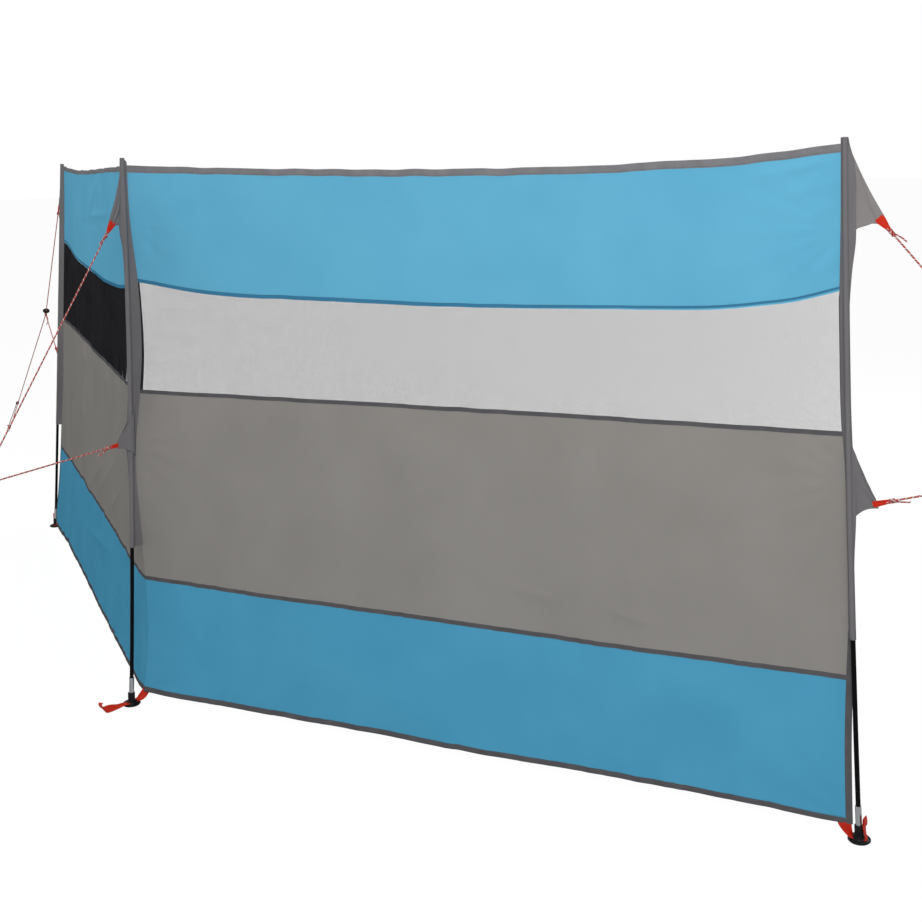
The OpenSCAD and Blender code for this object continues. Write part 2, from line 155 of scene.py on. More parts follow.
class Lofts:
    """Collects lofted rings as quads and makes one closed mesh of them."""

    def __init__(self):
        self.points, self.quads, self.uvs, self.skins, self.count = [], [], [], [], 0

    def add(self, rings, uv, skin=0):
        """rings: (n, m, 3), with half of each ring opposite the other half; uv: (n, m + 1, 2)."""
        n, m = rings.shape[:2]
        index = np.arange(n * m).reshape(n, m) + self.count
        here, ahead = index, np.roll(index, -1, axis=1)
        walls = np.stack([here[:-1], ahead[:-1], ahead[1:], here[1:]], -1).reshape(-1, 4)
        u0, u1 = uv[:, :-1], uv[:, 1:]
        wall_uv = np.stack([u0[:-1], u1[:-1], u1[1:], u0[1:]], -2).reshape(-1, 4, 2)
        k = np.arange(m // 2 - 1)
        cap = np.stack([k, k + 1, m - 2 - k, m - 1 - k], -1)
        caps = np.concatenate([index[0][cap[:, ::-1]], index[-1][cap]])
        cap_uv = np.concatenate([uv[0][cap[:, ::-1]], uv[-1][cap]])
        self.points.append(rings.reshape(-1, 3))
        self.quads += [walls, caps]
        self.uvs += [wall_uv, cap_uv]
        self.skins.append(np.full(len(walls) + len(caps), skin))
        self.count += n * m

    def make(self, name, *materials, sharp=50):
        mesh = bpy.data.meshes.new(name)
        mesh.from_pydata(np.concatenate(self.points).tolist(), [], np.concatenate(self.quads).tolist())
        layer = mesh.uv_layers.new(name="UVMap")
        layer.data.foreach_set("uv", np.concatenate(self.uvs).astype(np.float32).ravel())
        for material in materials:
            mesh.materials.append(material)
        mesh.polygons.foreach_set("material_index", np.concatenate(self.skins).astype(np.int32))
        shell = bmesh.new()
        shell.from_mesh(mesh)
        bmesh.ops.recalc_face_normals(shell, faces=shell.faces)
        shell.to_mesh(mesh)
        shell.free()
        mesh.shade_smooth()
        mesh.set_sharp_from_angle(angle=radians(sharp))
        piece = bpy.data.objects.new(name, mesh)
        bpy.context.scene.collection.objects.link(piece)
        print("  made", name, len(mesh.polygons), "faces")
        return piece


def mix(a, b, t):
    return a + (b - a) * t


def unit(v):
    return v / np.maximum(np.linalg.norm(v, axis=-1, keepdims=True), 1e-12)


def sheet_rings(p, thick):
    """Rings of a thin closed sheet around a grid of points p: (n, m, 3); thick may vary over the grid."""
    normal = unit(np.cross(np.gradient(p, axis=0), np.gradient(p, axis=1)))
    half = normal * np.broadcast_to(np.asarray(thick) / 2, p.shape[:2])[..., None]
    return np.concatenate([p + half, (p - half)[:, ::-1]], axis=1)


def sheet_uv(u, v):
    """UVs for sheet_rings from two grids of lengths in metres."""
    uv = np.stack(np.broadcast_arrays(u, v), -1)
    return np.concatenate([uv, uv[:, ::-1], uv[:, :1]], axis=1)


# %% [markdown]
# ## Colours and finishes
# Colours are written as sRGB hex values and turned to linear light in one place. One helper adds a node
# with its settings and links, for materials and for Geometry Nodes alike.

# %% Helpers for materials


def linear(hex_colour):
    """An sRGB hex colour as linear RGBA."""
    parts = [int(hex_colour[i:i + 2], 16) / 255 for i in (1, 3, 5)]
    return [c / 12.92 if c <= 0.04045 else ((c + 0.055) / 1.055) ** 2.4 for c in parts] + [1.0]


def add(tree, kind, inputs=None, **settings):
    """A node with its settings; an input is a value or another node's socket."""
    made = tree.nodes.new(kind)
    for key, value in settings.items():
        setattr(made, key, value)
    for key, value in (inputs or {}).items():
        if isinstance(value, bpy.types.NodeSocket):
            tree.links.new(value, made.inputs[key])
        else:
            made.inputs[key].default_value = value
    return made


def finish(name, **sockets):
    """A new material with a Principled shader, and its node tree."""
    material = bpy.data.materials.new(name)
    material.use_nodes = True
    tree = material.node_tree
    shader = tree.nodes["Principled BSDF"]
    for key, value in sockets.items():
        shader.inputs[key.replace("_", " ")].default_value = value
    return material, tree, shader


def two_tone(tree, shader, share, dark, light, height, depth, distance):
    """Mixes two colours by a share, and raises a bump from a height."""
    colour = add(tree, "ShaderNodeMix", {"Factor": share, "A": linear(dark), "B": linear(light)},
                 data_type="RGBA")
    bump = add(tree, "ShaderNodeBump", {"Height": height, "Strength": depth, "Distance": distance})
    tree.links.new(colour.outputs["Result"], shader.inputs["Base Color"])
    tree.links.new(bump.outputs["Normal"], shader.inputs["Normal"])


WAVE_PERIOD = 2 * pi / 20  # a wave texture of scale 1 repeats over this length


def woven(name, dark, light, thread, blotch=0.16, roughness=0.75, depth=0.25, gloss=0.0):
    """Woven cloth: two crossing sets of threads, and a colour that drifts a little over the piece."""
    material, tree, shader = finish(name, Roughness=roughness, Specular_IOR_Level=gloss)
    uv = add(tree, "ShaderNodeUVMap", uv_map="UVMap").outputs["UV"]
    place = add(tree, "ShaderNodeTexCoord").outputs["Object"]
    drift = add(tree, "ShaderNodeTexNoise", {"Vector": place, "Scale": 1 / blotch, "Detail": 3.0})
    weft = add(tree, "ShaderNodeTexWave", {"Vector": uv, "Scale": WAVE_PERIOD / thread}, bands_direction="X")
    warp = add(tree, "ShaderNodeTexWave", {"Vector": uv, "Scale": WAVE_PERIOD / thread}, bands_direction="Y")
    cross = add(tree, "ShaderNodeMath", {0: weft.outputs["Fac"], 1: warp.outputs["Fac"]},
                operation="MULTIPLY")
    tone = add(tree, "ShaderNodeMath", {0: cross.outputs[0], 1: 0.25, 2: drift.outputs["Fac"]},
               operation="MULTIPLY_ADD")
    two_tone(tree, shader, tone.outputs[0], dark, light, cross.outputs[0], depth, thread / 4)
    return material


# %% [markdown]
# The bays are coated polyester taffeta. Its threads are a quarter of a millimetre apart, too fine to show,
# so the weave is drawn three times as coarse. The bands differ only in dye. The doubled hem over the
# window has a darker blue, which is painted shade: it stands for the lesser light that comes through
# doubled cloth and for the shadow along its seam. The sleeves and flaps are oxford cloth, thicker and
# duller, and the tapes are ribbed across. The net's thread is matt black, so the window goes dark where it
# is seen at a slant. Webbing is coarse and has a little shine, which keeps its red lively.

# %% Cloth finishes
THREAD = 0.8 * MM
blue_cloth = woven("blue polyester taffeta", "#5aa4c5", "#66b0d0", THREAD)
deep_blue_cloth = woven("deep blue polyester taffeta", "#4793b6", "#53a0c3", THREAD)
# Painted shade: the window's hem is a darker copy of the blue taffeta.
blue_hem_painted_shade = woven("doubled blue taffeta with painted shade", "#336f91", "#3f7fa1", THREAD)
grey_cloth = woven("grey polyester taffeta", "#85827e", "#908d89", THREAD)
sleeve_cloth = woven("dark grey oxford cloth", "#676567", "#777577", 1.0 * MM, depth=0.4)
# A lighter copy of the sleeves' oxford cloth: painted light on the upper flaps of the end poles, which face the
# lamp.
flap_cloth_painted_light = woven("grey oxford cloth", "#7b7776", "#8b8786", 1.0 * MM, depth=0.4)
# One grey tape in two copies: the lighter one on the top edge is painted light, and the darker one on the
# seams, the bottom and the free end is painted shade. Their blotchy tone, light and dark over a few
# centimetres, is partly a tone of their own and partly painted highlights.
top_tape_painted_light = woven("grey tape with painted light", "#68686b", "#868689", 1.2 * MM, blotch=0.03, depth=0.6)
seam_tape_painted_shade = woven("grey tape with painted shade", "#4c4b4e", "#616063", 1.2 * MM, blotch=0.03, depth=0.6)
net_thread = woven("black polyester net", "#242426", "#303032", 0.3 * MM, depth=0.1)
webbing = woven("red polypropylene webbing", "#b01a0b", "#d43218", 1.6 * MM, roughness=0.55, depth=0.9,
                gloss=0.15)
sewing_thread = woven("grey sewing thread", "#58585b", "#6d6d70", 0.4 * MM)

# %% [markdown]
# The hard pieces: pultruded fibreglass shows faint streaks along the rod, an aluminium ferrule shows the
# rings of its lathe, moulded plastic has an even grain, and the pegs are galvanised wire.

# %% Finishes of the hard pieces


def streaked(name, dark, light, squeeze, size, roughness, metallic=0.0, depth=0.1, gloss=0.5):
    """A hard surface with grain that is drawn out along z by squeeze, or flattened if squeeze is below 1."""
    material, tree, shader = finish(name, Metallic=metallic, Specular_IOR_Level=gloss)
    place = add(tree, "ShaderNodeTexCoord").outputs["Object"]
    drawn = add(tree, "ShaderNodeMapping", {"Vector": place, "Scale": (1, 1, 1 / squeeze)})
    grain = add(tree, "ShaderNodeTexNoise", {"Vector": drawn.outputs[0], "Scale": 1 / size, "Detail": 4.0})
    rough = add(tree, "ShaderNodeMapRange", {"Value": grain.outputs["Fac"], "To Min": roughness - 0.08,
                                             "To Max": roughness + 0.08})
    tree.links.new(rough.outputs["Result"], shader.inputs["Roughness"])
    two_tone(tree, shader, grain.outputs["Fac"], dark, light, grain.outputs["Fac"], depth, size / 4)
    return material


fibreglass = streaked("black pultruded fibreglass", "#050506", "#0b0b0c", 30, 1.5 * MM, 0.45, gloss=0.04)
aluminium = streaked("turned aluminium", "#808284", "#9a9c9f", 0.15, 2.0 * MM, 0.34, metallic=1.0)
plastic = streaked("moulded black polypropylene", "#08080a", "#111113", 1, 1.2 * MM, 0.5, depth=0.25,
                   gloss=0.12)
steel = streaked("galvanised steel", "#8b8f94", "#b3b7bb", 1, 4.0 * MM, 0.42, metallic=1.0, depth=0.15)
for name in POLES:
    for ending, material in (("pole", fibreglass), ("ferrule", aluminium), ("foot", plastic),
                             ("guy_disc", plastic), ("guy_runner", plastic), ("guy_peg", steel)):
        nodes[name + "_" + ending].data.materials.clear()
        nodes[name + "_" + ending].data.materials.append(material)
print("finishes on", 6 * len(POLES), "CAD nodes")

# %% [markdown]
# The guy rope is a braided sleeve with candy stripes. Its UVs run around the rope and along it, so the
# stripes and the braid wind round every bend and knot.

# %% Rope finish
ROPE_D = 4 * MM
STRIPE = 14 * MM


def braided(name):
    material, tree, shader = finish(name, Roughness=0.65, Specular_IOR_Level=0.25)
    uv = add(tree, "ShaderNodeUVMap", uv_map="UVMap").outputs["UV"]
    part = add(tree, "ShaderNodeSeparateXYZ", {"Vector": uv})
    turn = add(tree, "ShaderNodeMath", {0: part.outputs["Y"], 1: 1 / STRIPE, 2: part.outputs["X"]},
               operation="MULTIPLY_ADD")
    phase = add(tree, "ShaderNodeMath", {0: turn.outputs[0]}, operation="FRACT")
    ramp = add(tree, "ShaderNodeValToRGB", {"Fac": phase.outputs[0]})
    ramp.color_ramp.interpolation = "CONSTANT"
    bands = ((0.0, "#b23228"), (0.40, "#e2cfca"), (0.60, "#6d1f22"), (0.84, "#cf8a82"))
    ramp.color_ramp.elements.new(0.5)
    ramp.color_ramp.elements.new(0.7)
    for element, (start, colour) in zip(ramp.color_ramp.elements, bands):
        element.position, element.color = start, linear(colour)
    tree.links.new(ramp.outputs["Color"], shader.inputs["Base Color"])
    strands = []
    for lay in (-1, 1):
        wind = add(tree, "ShaderNodeMath", {0: part.outputs["Y"], 1: 1 / (3 * ROPE_D)}, operation="MULTIPLY")
        both = add(tree, "ShaderNodeMath", {0: part.outputs["X"], 1: lay * 1.0, 2: wind.outputs[0]},
                   operation="MULTIPLY_ADD")
        ridge = add(tree, "ShaderNodeMath", {0: both.outputs[0], 1: 16 * pi}, operation="MULTIPLY")
        strands.append(add(tree, "ShaderNodeMath", {0: ridge.outputs[0]}, operation="SINE"))
    plait = add(tree, "ShaderNodeMath", {0: strands[0].outputs[0], 1: strands[1].outputs[0]},
                operation="MAXIMUM")
    bump = add(tree, "ShaderNodeBump", {"Height": plait.outputs[0], "Strength": 0.5, "Distance": 0.3 * MM})
    tree.links.new(bump.outputs["Normal"], shader.inputs["Normal"])
    return material


rope_finish = braided("striped braided polyester")
print(len(bpy.data.materials), "finishes")

# %% [markdown]
# ## Cloth surface
# Each bay hangs between the fold behind the middle pole and the seam beside an end pole. The heights of its
# seams sag between the poles. At the guy flaps the cloth is drawn in towards the pole, and between them it
# stands off, so the fold swings in and out. Wrinkles are added along the bay's normal: slack in broad
# waves, fans of tension at the corners, puckers along the seams and the creases of a cloth that was packed
# folded.

# %% Seams and edges of a bay
# Heights of the seams at shares of the bay's width, from the fold to the end, in millimetres
SEAMS = {
    "right": {
        "bottom": ((0, 21), (0.2, 27), (0.6, 30), (0.93, 32), (1, 29)),
        "hem": ((0, 34), (0.2, 40), (0.6, 42), (0.93, 43), (1, 39)),
        "lower": ((0, 318), (0.5, 317), (1, 317)),
        "middle": ((0, 817), (0.3, 821), (0.7, 823), (1, 821)),
        "window": ((0, 1101), (0.1, 1077), (0.3, 1065), (0.5, 1058), (0.75, 1062), (0.87, 1069), (0.95, 1088),
                   (1, 1111)),
        "upper": ((0, 1392), (0.12, 1383), (0.33, 1372), (0.55, 1365), (0.76, 1369), (0.88, 1378), (1, 1399)),
        "top": ((0, 1411), (0.12, 1400), (0.33, 1389), (0.55, 1382), (0.76, 1387), (0.88, 1396), (1, 1417)),
    },
    "left": {
        "bottom": ((0, 21), (0.5, 26), (1, 22)),
        "hem": ((0, 34), (0.5, 40), (1, 37)),
        "lower": ((0, 318), (0.2, 326), (0.5, 328), (1, 320)),
        "middle": ((0, 815), (0.15, 808), (0.4, 813), (0.65, 821), (1, 822)),
        "window": ((0, 1101), (0.1, 1072), (0.3, 1056), (0.5, 1062), (0.7, 1076), (0.9, 1106), (1, 1122)),
        "upper": ((0, 1394), (0.3, 1393), (0.6, 1388), (0.8, 1392), (1, 1404)),
        "top": ((0, 1411), (0.3, 1407), (0.6, 1402), (0.8, 1407), (1, 1421)),
    },
}
# Kinks of the taped edges and puckers of the window's hem, in millimetres
KINKS = {"bottom": 0.9, "hem": 0.9, "lower": 0.5, "middle": 0.6, "window": 0.8, "upper": 1.5, "top": 1.5}
# Stand-off of the fold from the middle pole and of the end seam from an end pole, at heights up the pole
FOLD_FIN = ((22, 38), (110, 47), (250, 45), (400, 32), (660, 13), (800, 28), (900, 37), (1030, 36),
            (1120, 31), (1280, 14), (1431, 12))
END_FIN = ((22, 22.5), (200, 20.5), (330, 14), (400, 9.5), (460, 8), (620, 7.5), (750, 8.5), (830, 13),
           (1000, 14.5), (1130, 14), (1250, 10.5), (1431, 8.5))
# Offset of the end seam to the sheltered side of an end pole
END_IN = ((22, 0), (45, 0.5), (137, 7), (390, 15), (437, 15.5), (591, 17), (793, 14), (970, 12.5),
          (1172, 11.5), (1374, 8), (1431, 6))
# Reach of a sleeve on its guy side
END_OUT = ((408, 6.3), (560, 6.6), (650, 12), (700, 13), (780, 8.5), (860, 6.5), (1090, 6.6), (1160, 12),
           (1235, 20), (1300, 20.5), (1385, 19), (1404, 15.5), (1418, 9.5), (1431, 6.6))
MIDDLE_OUT = ((408, 6.3), (560, 6.6), (640, 11), (690, 15), (740, 11), (800, 6.8), (900, 6.3), (1120, 6.6),
              (1200, 10), (1250, 16), (1320, 13), (1400, 8.5), (1431, 6.6))


def follow(stations, x):
    """A smooth curve through a few stations of place and value."""
    place, value = np.array(stations, float).T
    slope = np.gradient(value, place)
    k = np.clip(np.searchsorted(place, x) - 1, 0, len(place) - 2)
    wide = place[k + 1] - place[k]
    t = np.clip((x - place[k]) / wide, 0, 1)
    ends = value[k] * (1 + 2 * t) * (1 - t) ** 2 + value[k + 1] * t ** 2 * (3 - 2 * t)
    return ends + wide * t * (1 - t) * (slope[k] * (1 - t) - slope[k + 1] * t)


def up_pole(stations, z):
    """The same for stations in millimetres at heights up a pole, in metres."""
    return follow(stations, z / MM) * MM


def sleeve_out(name, z):
    return up_pole(MIDDLE_OUT if name == "middle" else END_OUT, z)


def seam_z(side, name, u):
    """Height of a seam at a share u of the bay's width."""
    edge = "top" if name == "upper" else "bottom" if name == "hem" else name
    kink = KINKS[name] * lattice(SEED[side] + 30 + len(edge), u * BAY_W / 0.055, 0 * u)
    return (follow(SEAMS[side][name], u) + kink) * MM


def lattice(seed, x, y):
    """Smooth noise from -1 to 1 with a cell of 1."""
    table = np.random.default_rng(seed).uniform(-1, 1, (64, 64))
    i, j = np.floor(x).astype(int), np.floor(y).astype(int)
    s, t = (v * v * (3 - 2 * v) for v in (x - i, y - j))
    near = mix(table[i % 64, j % 64], table[(i + 1) % 64, j % 64], s)
    far = mix(table[i % 64, (j + 1) % 64], table[(i + 1) % 64, (j + 1) % 64], s)
    return mix(near, far, t)


# %% Sizes of the wrinkles
# Depths are in millimetres, other lengths in metres, and places along a bay are shares of its width
# Slack: depth of its waves, and their size along the bay and up it
WAVES = ((5.0, 0.45, 0.40), (1.5, 0.15, 0.20), (0.35, 0.045, 0.08))
# Corners that pull on the cloth: place, height, depth of the folds, folds in a half turn and reach
FANS = ((1.0, 1.40, 0.9, 15, 0.16), (1.0, 1.24, 1.0, 19, 0.26), (1.0, 0.72, 0.9, 15, 0.18),
        (1.0, 0.03, 1.0, 13, 0.2), (0.0, 1.26, 0.9, 13, 0.18), (0.0, 0.68, 1.0, 13, 0.2),
        (0.0, 0.03, 0.8, 13, 0.18))
# Puckers along the seams, and how far they reach from a seam
PUCKERS = (("hem", 1.2), ("lower", 1.4), ("middle", 1.4), ("window", 0.2), ("upper", 0.9))
PUCKER_REACH = 0.022
# Single creases: place and height of both ends, depth, and half width in millimetres
PULLS = {
    "right": (
        (1.0, 1.211, 0.978, 1.145, 2.6, 6), (1.0, 1.195, 0.984, 1.150, 2.0, 4),
        (1.0, 1.178, 0.980, 1.122, 2.6, 6), (1.0, 1.147, 0.991, 1.113, 2.0, 5),
        (1.0, 1.385, 0.90, 1.350, 3.0, 11), (1.0, 1.340, 0.93, 1.310, 2.4, 9),
        (1.0, 1.293, 0.97, 1.274, 2.0, 7), (0.9867, 0.811, 1.0, 0.758, 3.0, 6),
        (0.978, 0.812, 0.980, 0.784, 2.4, 5), (0.950, 0.388, 0.955, 0.327, 2.4, 6),
        (0.989, 0.388, 0.994, 0.459, 2.0, 6), (0.70, 0.400, 0.78, 0.370, 3.0, 10),
        (0.58, 0.418, 0.66, 0.398, 3.0, 10), (0.985, 0.60, 0.995, 0.45, 2.4, 8),
        (0.0, 0.66, 0.035, 0.65, 2.6, 6),
    ),
    "left": (
        (0.425, 1.363, 0.567, 1.250, 8.0, 18), (0.567, 1.247, 0.258, 1.271, 5.0, 8),
        (0.64, 0.805, 0.615, 0.735, 8.0, 20), (0.32, 0.780, 0.365, 0.715, 8.0, 18),
        (0.24, 0.536, 0.45, 0.352, 9.0, 26), (0.336, 0.505, 0.592, 0.312, 8.0, 26),
        (0.16, 0.50, 0.30, 0.36, 7.0, 20), (0.30, 0.25, 0.55, 0.20, 7.0, 26),
        (0.62, 0.70, 0.66, 0.52, 7.0, 30),
    ),
}
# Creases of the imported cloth: places of the upright ones and heights of the level ones, and how wide they are
UPRIGHT, UPRIGHT_W = (0.18, 0.34, 0.5, 0.66, 0.82), 0.009
LEVEL, LEVEL_W = (0.16, 0.46, 0.68, 1.22), 0.007
CREASE_DEPTH = {"left": 2.0, "right": 0.8}
SEED = {"left": 40, "right": 10}

# %% Wrinkles of a bay


def wrinkle(side, u, z):
    """Height of the cloth over its smooth surface."""
    seed, x = SEED[side], u * BAY_W
    lift = sum(depth * lattice(seed + k, x / long, z / tall) for k, (depth, long, tall) in enumerate(WAVES))
    for k, (place, height, depth, folds, reach) in enumerate(FANS):
        along, up = np.abs(x - place * BAY_W), z - height
        far = np.hypot(along, up)
        fan = np.sin(folds * np.arctan2(up, along + 0.01) + 2.3 * k)
        lift = lift + depth * fan * np.exp(-far / reach) * np.clip(far / 0.05, 0, 1)
    for k, (name, depth) in enumerate(PUCKERS):
        off = np.abs(z - seam_z(side, name, u))
        pull = lattice(seed + 3 + k, x / 0.016, 0 * x) + lattice(seed + 13 + k, x / 0.045, 0 * x)
        lift = lift + depth * pull * np.exp(-off / PUCKER_REACH)
    for k, place in enumerate(UPRIGHT):
        ridge = np.exp(-np.abs(x - place * BAY_W) / UPRIGHT_W)
        lift = lift + CREASE_DEPTH[side] * ridge * lattice(seed + 9 + k, 0 * x + 0.5, z / 0.18)
    for k, height in enumerate(LEVEL):
        ridge = np.exp(-np.abs(z - height) / LEVEL_W)
        lift = lift + CREASE_DEPTH[side] * ridge * lattice(seed + 19 + k, x / 0.22, 0 * x + 0.5)
    lift = lift * np.clip(np.minimum(u, 1 - u) / 0.03, 0.15, 1)
    for u0, z0, u1, z1, depth, half in PULLS[side]:
        run = np.array([(u1 - u0) * BAY_W, z1 - z0])
        length = np.hypot(*run)
        along = ((x - u0 * BAY_W) * run[0] + (z - z0) * run[1]) / length ** 2
        off = ((x - u0 * BAY_W) * run[1] - (z - z0) * run[0]) / length
        fade = np.clip(np.minimum(along + 0.1, 1.1 - along) / 0.4, 0, 1)
        lift = lift + depth * fade * np.exp(-np.abs(off) / (half * MM)) * np.clip((1 - u) / 0.004, 0.2, 1)
    return lift * MM


def cloth(side, u, z, out=0.0):
    """Points of a bay's cloth: u from the fold to the end seam, z up along the poles."""
    u, z = np.broadcast_arrays(np.asarray(u, float), np.asarray(z, float))
    axis = axis_s("middle", z)
    fold = np.stack([0 * z, FIN_MIDDLE - axis, z], -1)
    end = on_pole("right", axis_s("right", z) - up_pole(END_FIN, z), up_pole(END_IN, z), z)
    p = mix(fold, end, u[..., None])
    drawn = (up_pole(FOLD_FIN, z) - FIN_MIDDLE) * np.exp(-u * BAY_W / 0.12)
    p[..., 1] += drawn
    p += (out + wrinkle(side, u, z))[..., None] * BAY_OUT
    return handed(side, p)


print("mid bay at the window seam:", cloth("right", 0.5, 1.06).round(3))

# %% [markdown]
# ## Bands of cloth
# A band is a grid between two seams, given a real thickness so that its mesh is closed. Both bays come from
# the same functions, with wrinkles of their own.

# %% Bands of cloth
CLOTH_T = 0.5 * MM
CELL = 7.5 * MM
ROOT = "root"


def dress(piece, slot, *replaced):
    """Lets a piece ride on the windbreak's one body and stand for its CAD nodes."""
    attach(piece, ROOT)
    if replaced:
        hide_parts(*replaced)
    return piece


def band(lofts, side, low, high, thick, skin=0, rows=None, start=0.0, stop=1.0, out=0.0, shift=(0.0, 0.0)):
    """A strip of a bay between two seams; shift moves its edges up, by metres or by millimetre stations."""
    columns = max(2, round((stop - start) * BAY_W / CELL))
    u = np.linspace(start, stop, columns + 1)[:, None]
    foot, head = (follow(move, u) * MM if isinstance(move, tuple) else move for move in shift)
    foot, head = seam_z(side, low, u) + foot, seam_z(side, high, u) + head
    rows = rows or max(2, round(np.max(head - foot) / CELL))
    t = np.linspace(0, 1, rows + 1)[None, :]
    z = mix(foot, head, t)
    lofts.add(sheet_rings(cloth(side, u, z, out), thick), sheet_uv(u * BAY_W, z), skin)


BANDS = (("lower", "hem", "lower", "lower_panel", "blue_cloth", deep_blue_cloth),
         ("grey", "lower", "middle", "middle_panel", "grey_cloth", grey_cloth),
         ("upper", "window", "upper", "upper_panel", "blue_cloth", blue_cloth))
for side in SIDES:
    for name, low, high, node, slot, material in BANDS:
        lofts = Lofts()
        band(lofts, side, low, high, CLOTH_T)
        piece = lofts.make(side + "_" + name + "_band", material)
        dress(piece, slot, side + "_" + node)

# %% [markdown]
# ## Bound edges and seam tapes
# Folded tape binds the top, the bottom and the free end of each bay. Flat tape covers the seams of the grey
# band, and the blue band ends over the window in a doubled hem.

# %% Tapes
EDGE_W = 11 * MM
TAPE_T, BIND_T = 1.4 * MM, 2.2 * MM
# Edges of the window's hem over its seam; towards the end a strip of single cloth shows below it
HEM_FOOT = ((0, -0.5), (0.5, 0), (0.75, 3), (1, 4.5))
HEM_HEAD = ((0, 9), (0.5, 9), (0.75, 9), (1, 10))
# Thickness across a folded tape
ROUND = BIND_T * np.array([0.55, 0.9, 1.0, 1.0, 0.9, 0.55])


def edge_tape(lofts, side):
    """Tape folded over the end edge, from the bottom corner up into the sleeve."""
    z = np.linspace(np.max(seam_z(side, "bottom", np.ones(1))), SLEEVE_LOW + 6 * MM, 60)[:, None]
    t = np.linspace(0, 1, 6)[None, :]
    fin = up_pole(END_FIN, z)
    front = np.minimum(EDGE_W, fin - POLE_R - 0.6 * MM)
    outwards = on_pole(side, 1, 0, z) - on_pole(side, 0, 0, z)
    p = cloth(side, 1, z) + mix(-3 * MM, front, t)[..., None] * outwards
    lofts.add(sheet_rings(p, ROUND[None, :]), sheet_uv(t * EDGE_W, z))


tapes = {}
for side in SIDES:
    top, hem, seams = Lofts(), Lofts(), Lofts()
    band(top, side, "upper", "top", ROUND, rows=5)
    band(hem, side, "bottom", "hem", ROUND, rows=5)
    edge_tape(hem, side)
    band(seams, side, "middle", "middle", TAPE_T, rows=2, shift=(-10 * MM, 0))
    band(seams, side, "lower", "lower", TAPE_T, rows=2, shift=(-4 * MM, 6 * MM))
    band(seams, side, "window", "window", TAPE_T, 1, rows=2, shift=(HEM_FOOT, HEM_HEAD))
    tapes[side] = [
        dress(top.make(side + "_top_tape_painted_light", top_tape_painted_light), "grey_binding", side + "_top_binding"),
        dress(hem.make(side + "_hem_tape", seam_tape_painted_shade), "grey_binding", side + "_hem_binding"),
        dress(seams.make(side + "_seam_tapes", seam_tape_painted_shade, blue_hem_painted_shade), "grey_binding"),
    ]

# %% [markdown]
# ## Geometry Nodes: net and stitches
# The window is a knitted net. Painting it as see-through cloth would look the same from every side, but a
# real net closes up when it is seen at a slant, as the far bay does in the photograph. So its threads are
# real: a Geometry Nodes tree lays straight threads on a unit square, moves them onto the window's surface
# through that surface's UV map, and sweeps a square section along each. The section keeps one side to the
# cloth, because a thread that turned about itself would look wider there and leave a stripe in the window.
# A second tree sets stitches along guide lines.

# %% Helpers for Geometry Nodes


def new_tree(name, **sizes):
    """A Geometry Nodes tree with named inputs, its group input and its group output."""
    tree = bpy.data.node_groups.new(name, "GeometryNodeTree")
    tree.interface.new_socket("Geometry", in_out="INPUT", socket_type="NodeSocketGeometry")
    for label, kind in sizes.items():
        tree.interface.new_socket(label, in_out="INPUT", socket_type="NodeSocket" + kind)
    tree.interface.new_socket("Geometry", in_out="OUTPUT", socket_type="NodeSocketGeometry")
    return tree, add(tree, "NodeGroupInput"), add(tree, "NodeGroupOutput")


def close_tree(tree, geometry, given, result):
    """Makes the instances real, gives them their material and ends the tree."""
    whole = add(tree, "GeometryNodeRealizeInstances", {"Geometry": geometry})
    dyed = add(tree, "GeometryNodeSetMaterial", {"Geometry": whole.outputs[0],
                                                "Material": given.outputs["Material"]})
    tree.links.new(dyed.outputs[0], result.inputs[0])
    return tree


def grow(name, mesh, tree, **values):
    """Runs a tree on a guide mesh and keeps its result as a plain mesh object."""
    guide = bpy.data.objects.new(name + "_guide", mesh)
    bpy.context.scene.collection.objects.link(guide)
    modifier = guide.modifiers.new("grow", "NODES")
    modifier.node_group = tree
    for item in tree.interface.items_tree:
        if item.in_out == "INPUT" and item.name in values:
            modifier[item.identifier] = values[item.name]
    bpy.context.view_layer.update()
    grown = bpy.data.meshes.new_from_object(guide.evaluated_get(bpy.context.evaluated_depsgraph_get()))
    bpy.data.objects.remove(guide)
    grown.name = name
    piece = bpy.data.objects.new(name, grown)
    bpy.context.scene.collection.objects.link(piece)
    print("  grew", name, len(grown.polygons), "faces")
    return piece


# %% Net tree
NET_PITCH, NET_THREAD = 1.0 * MM, 0.192 * MM
NET_SLACK = 0.06  # share of the pitch by which a thread strays
# Seed, name of the count, both ends of a thread, the way across all threads, and points on a thread
THREADS = ((1, "Columns", (0, 0.002, 0), (0, 0.998, 0), (0.999, 0, 0), 5),
           (2, "Rows", (0.0005, 0, 0), (0.9995, 0, 0), (0, 0.999, 0), 34))
EDGE_SHARE = 0.0005  # gap beside the first thread


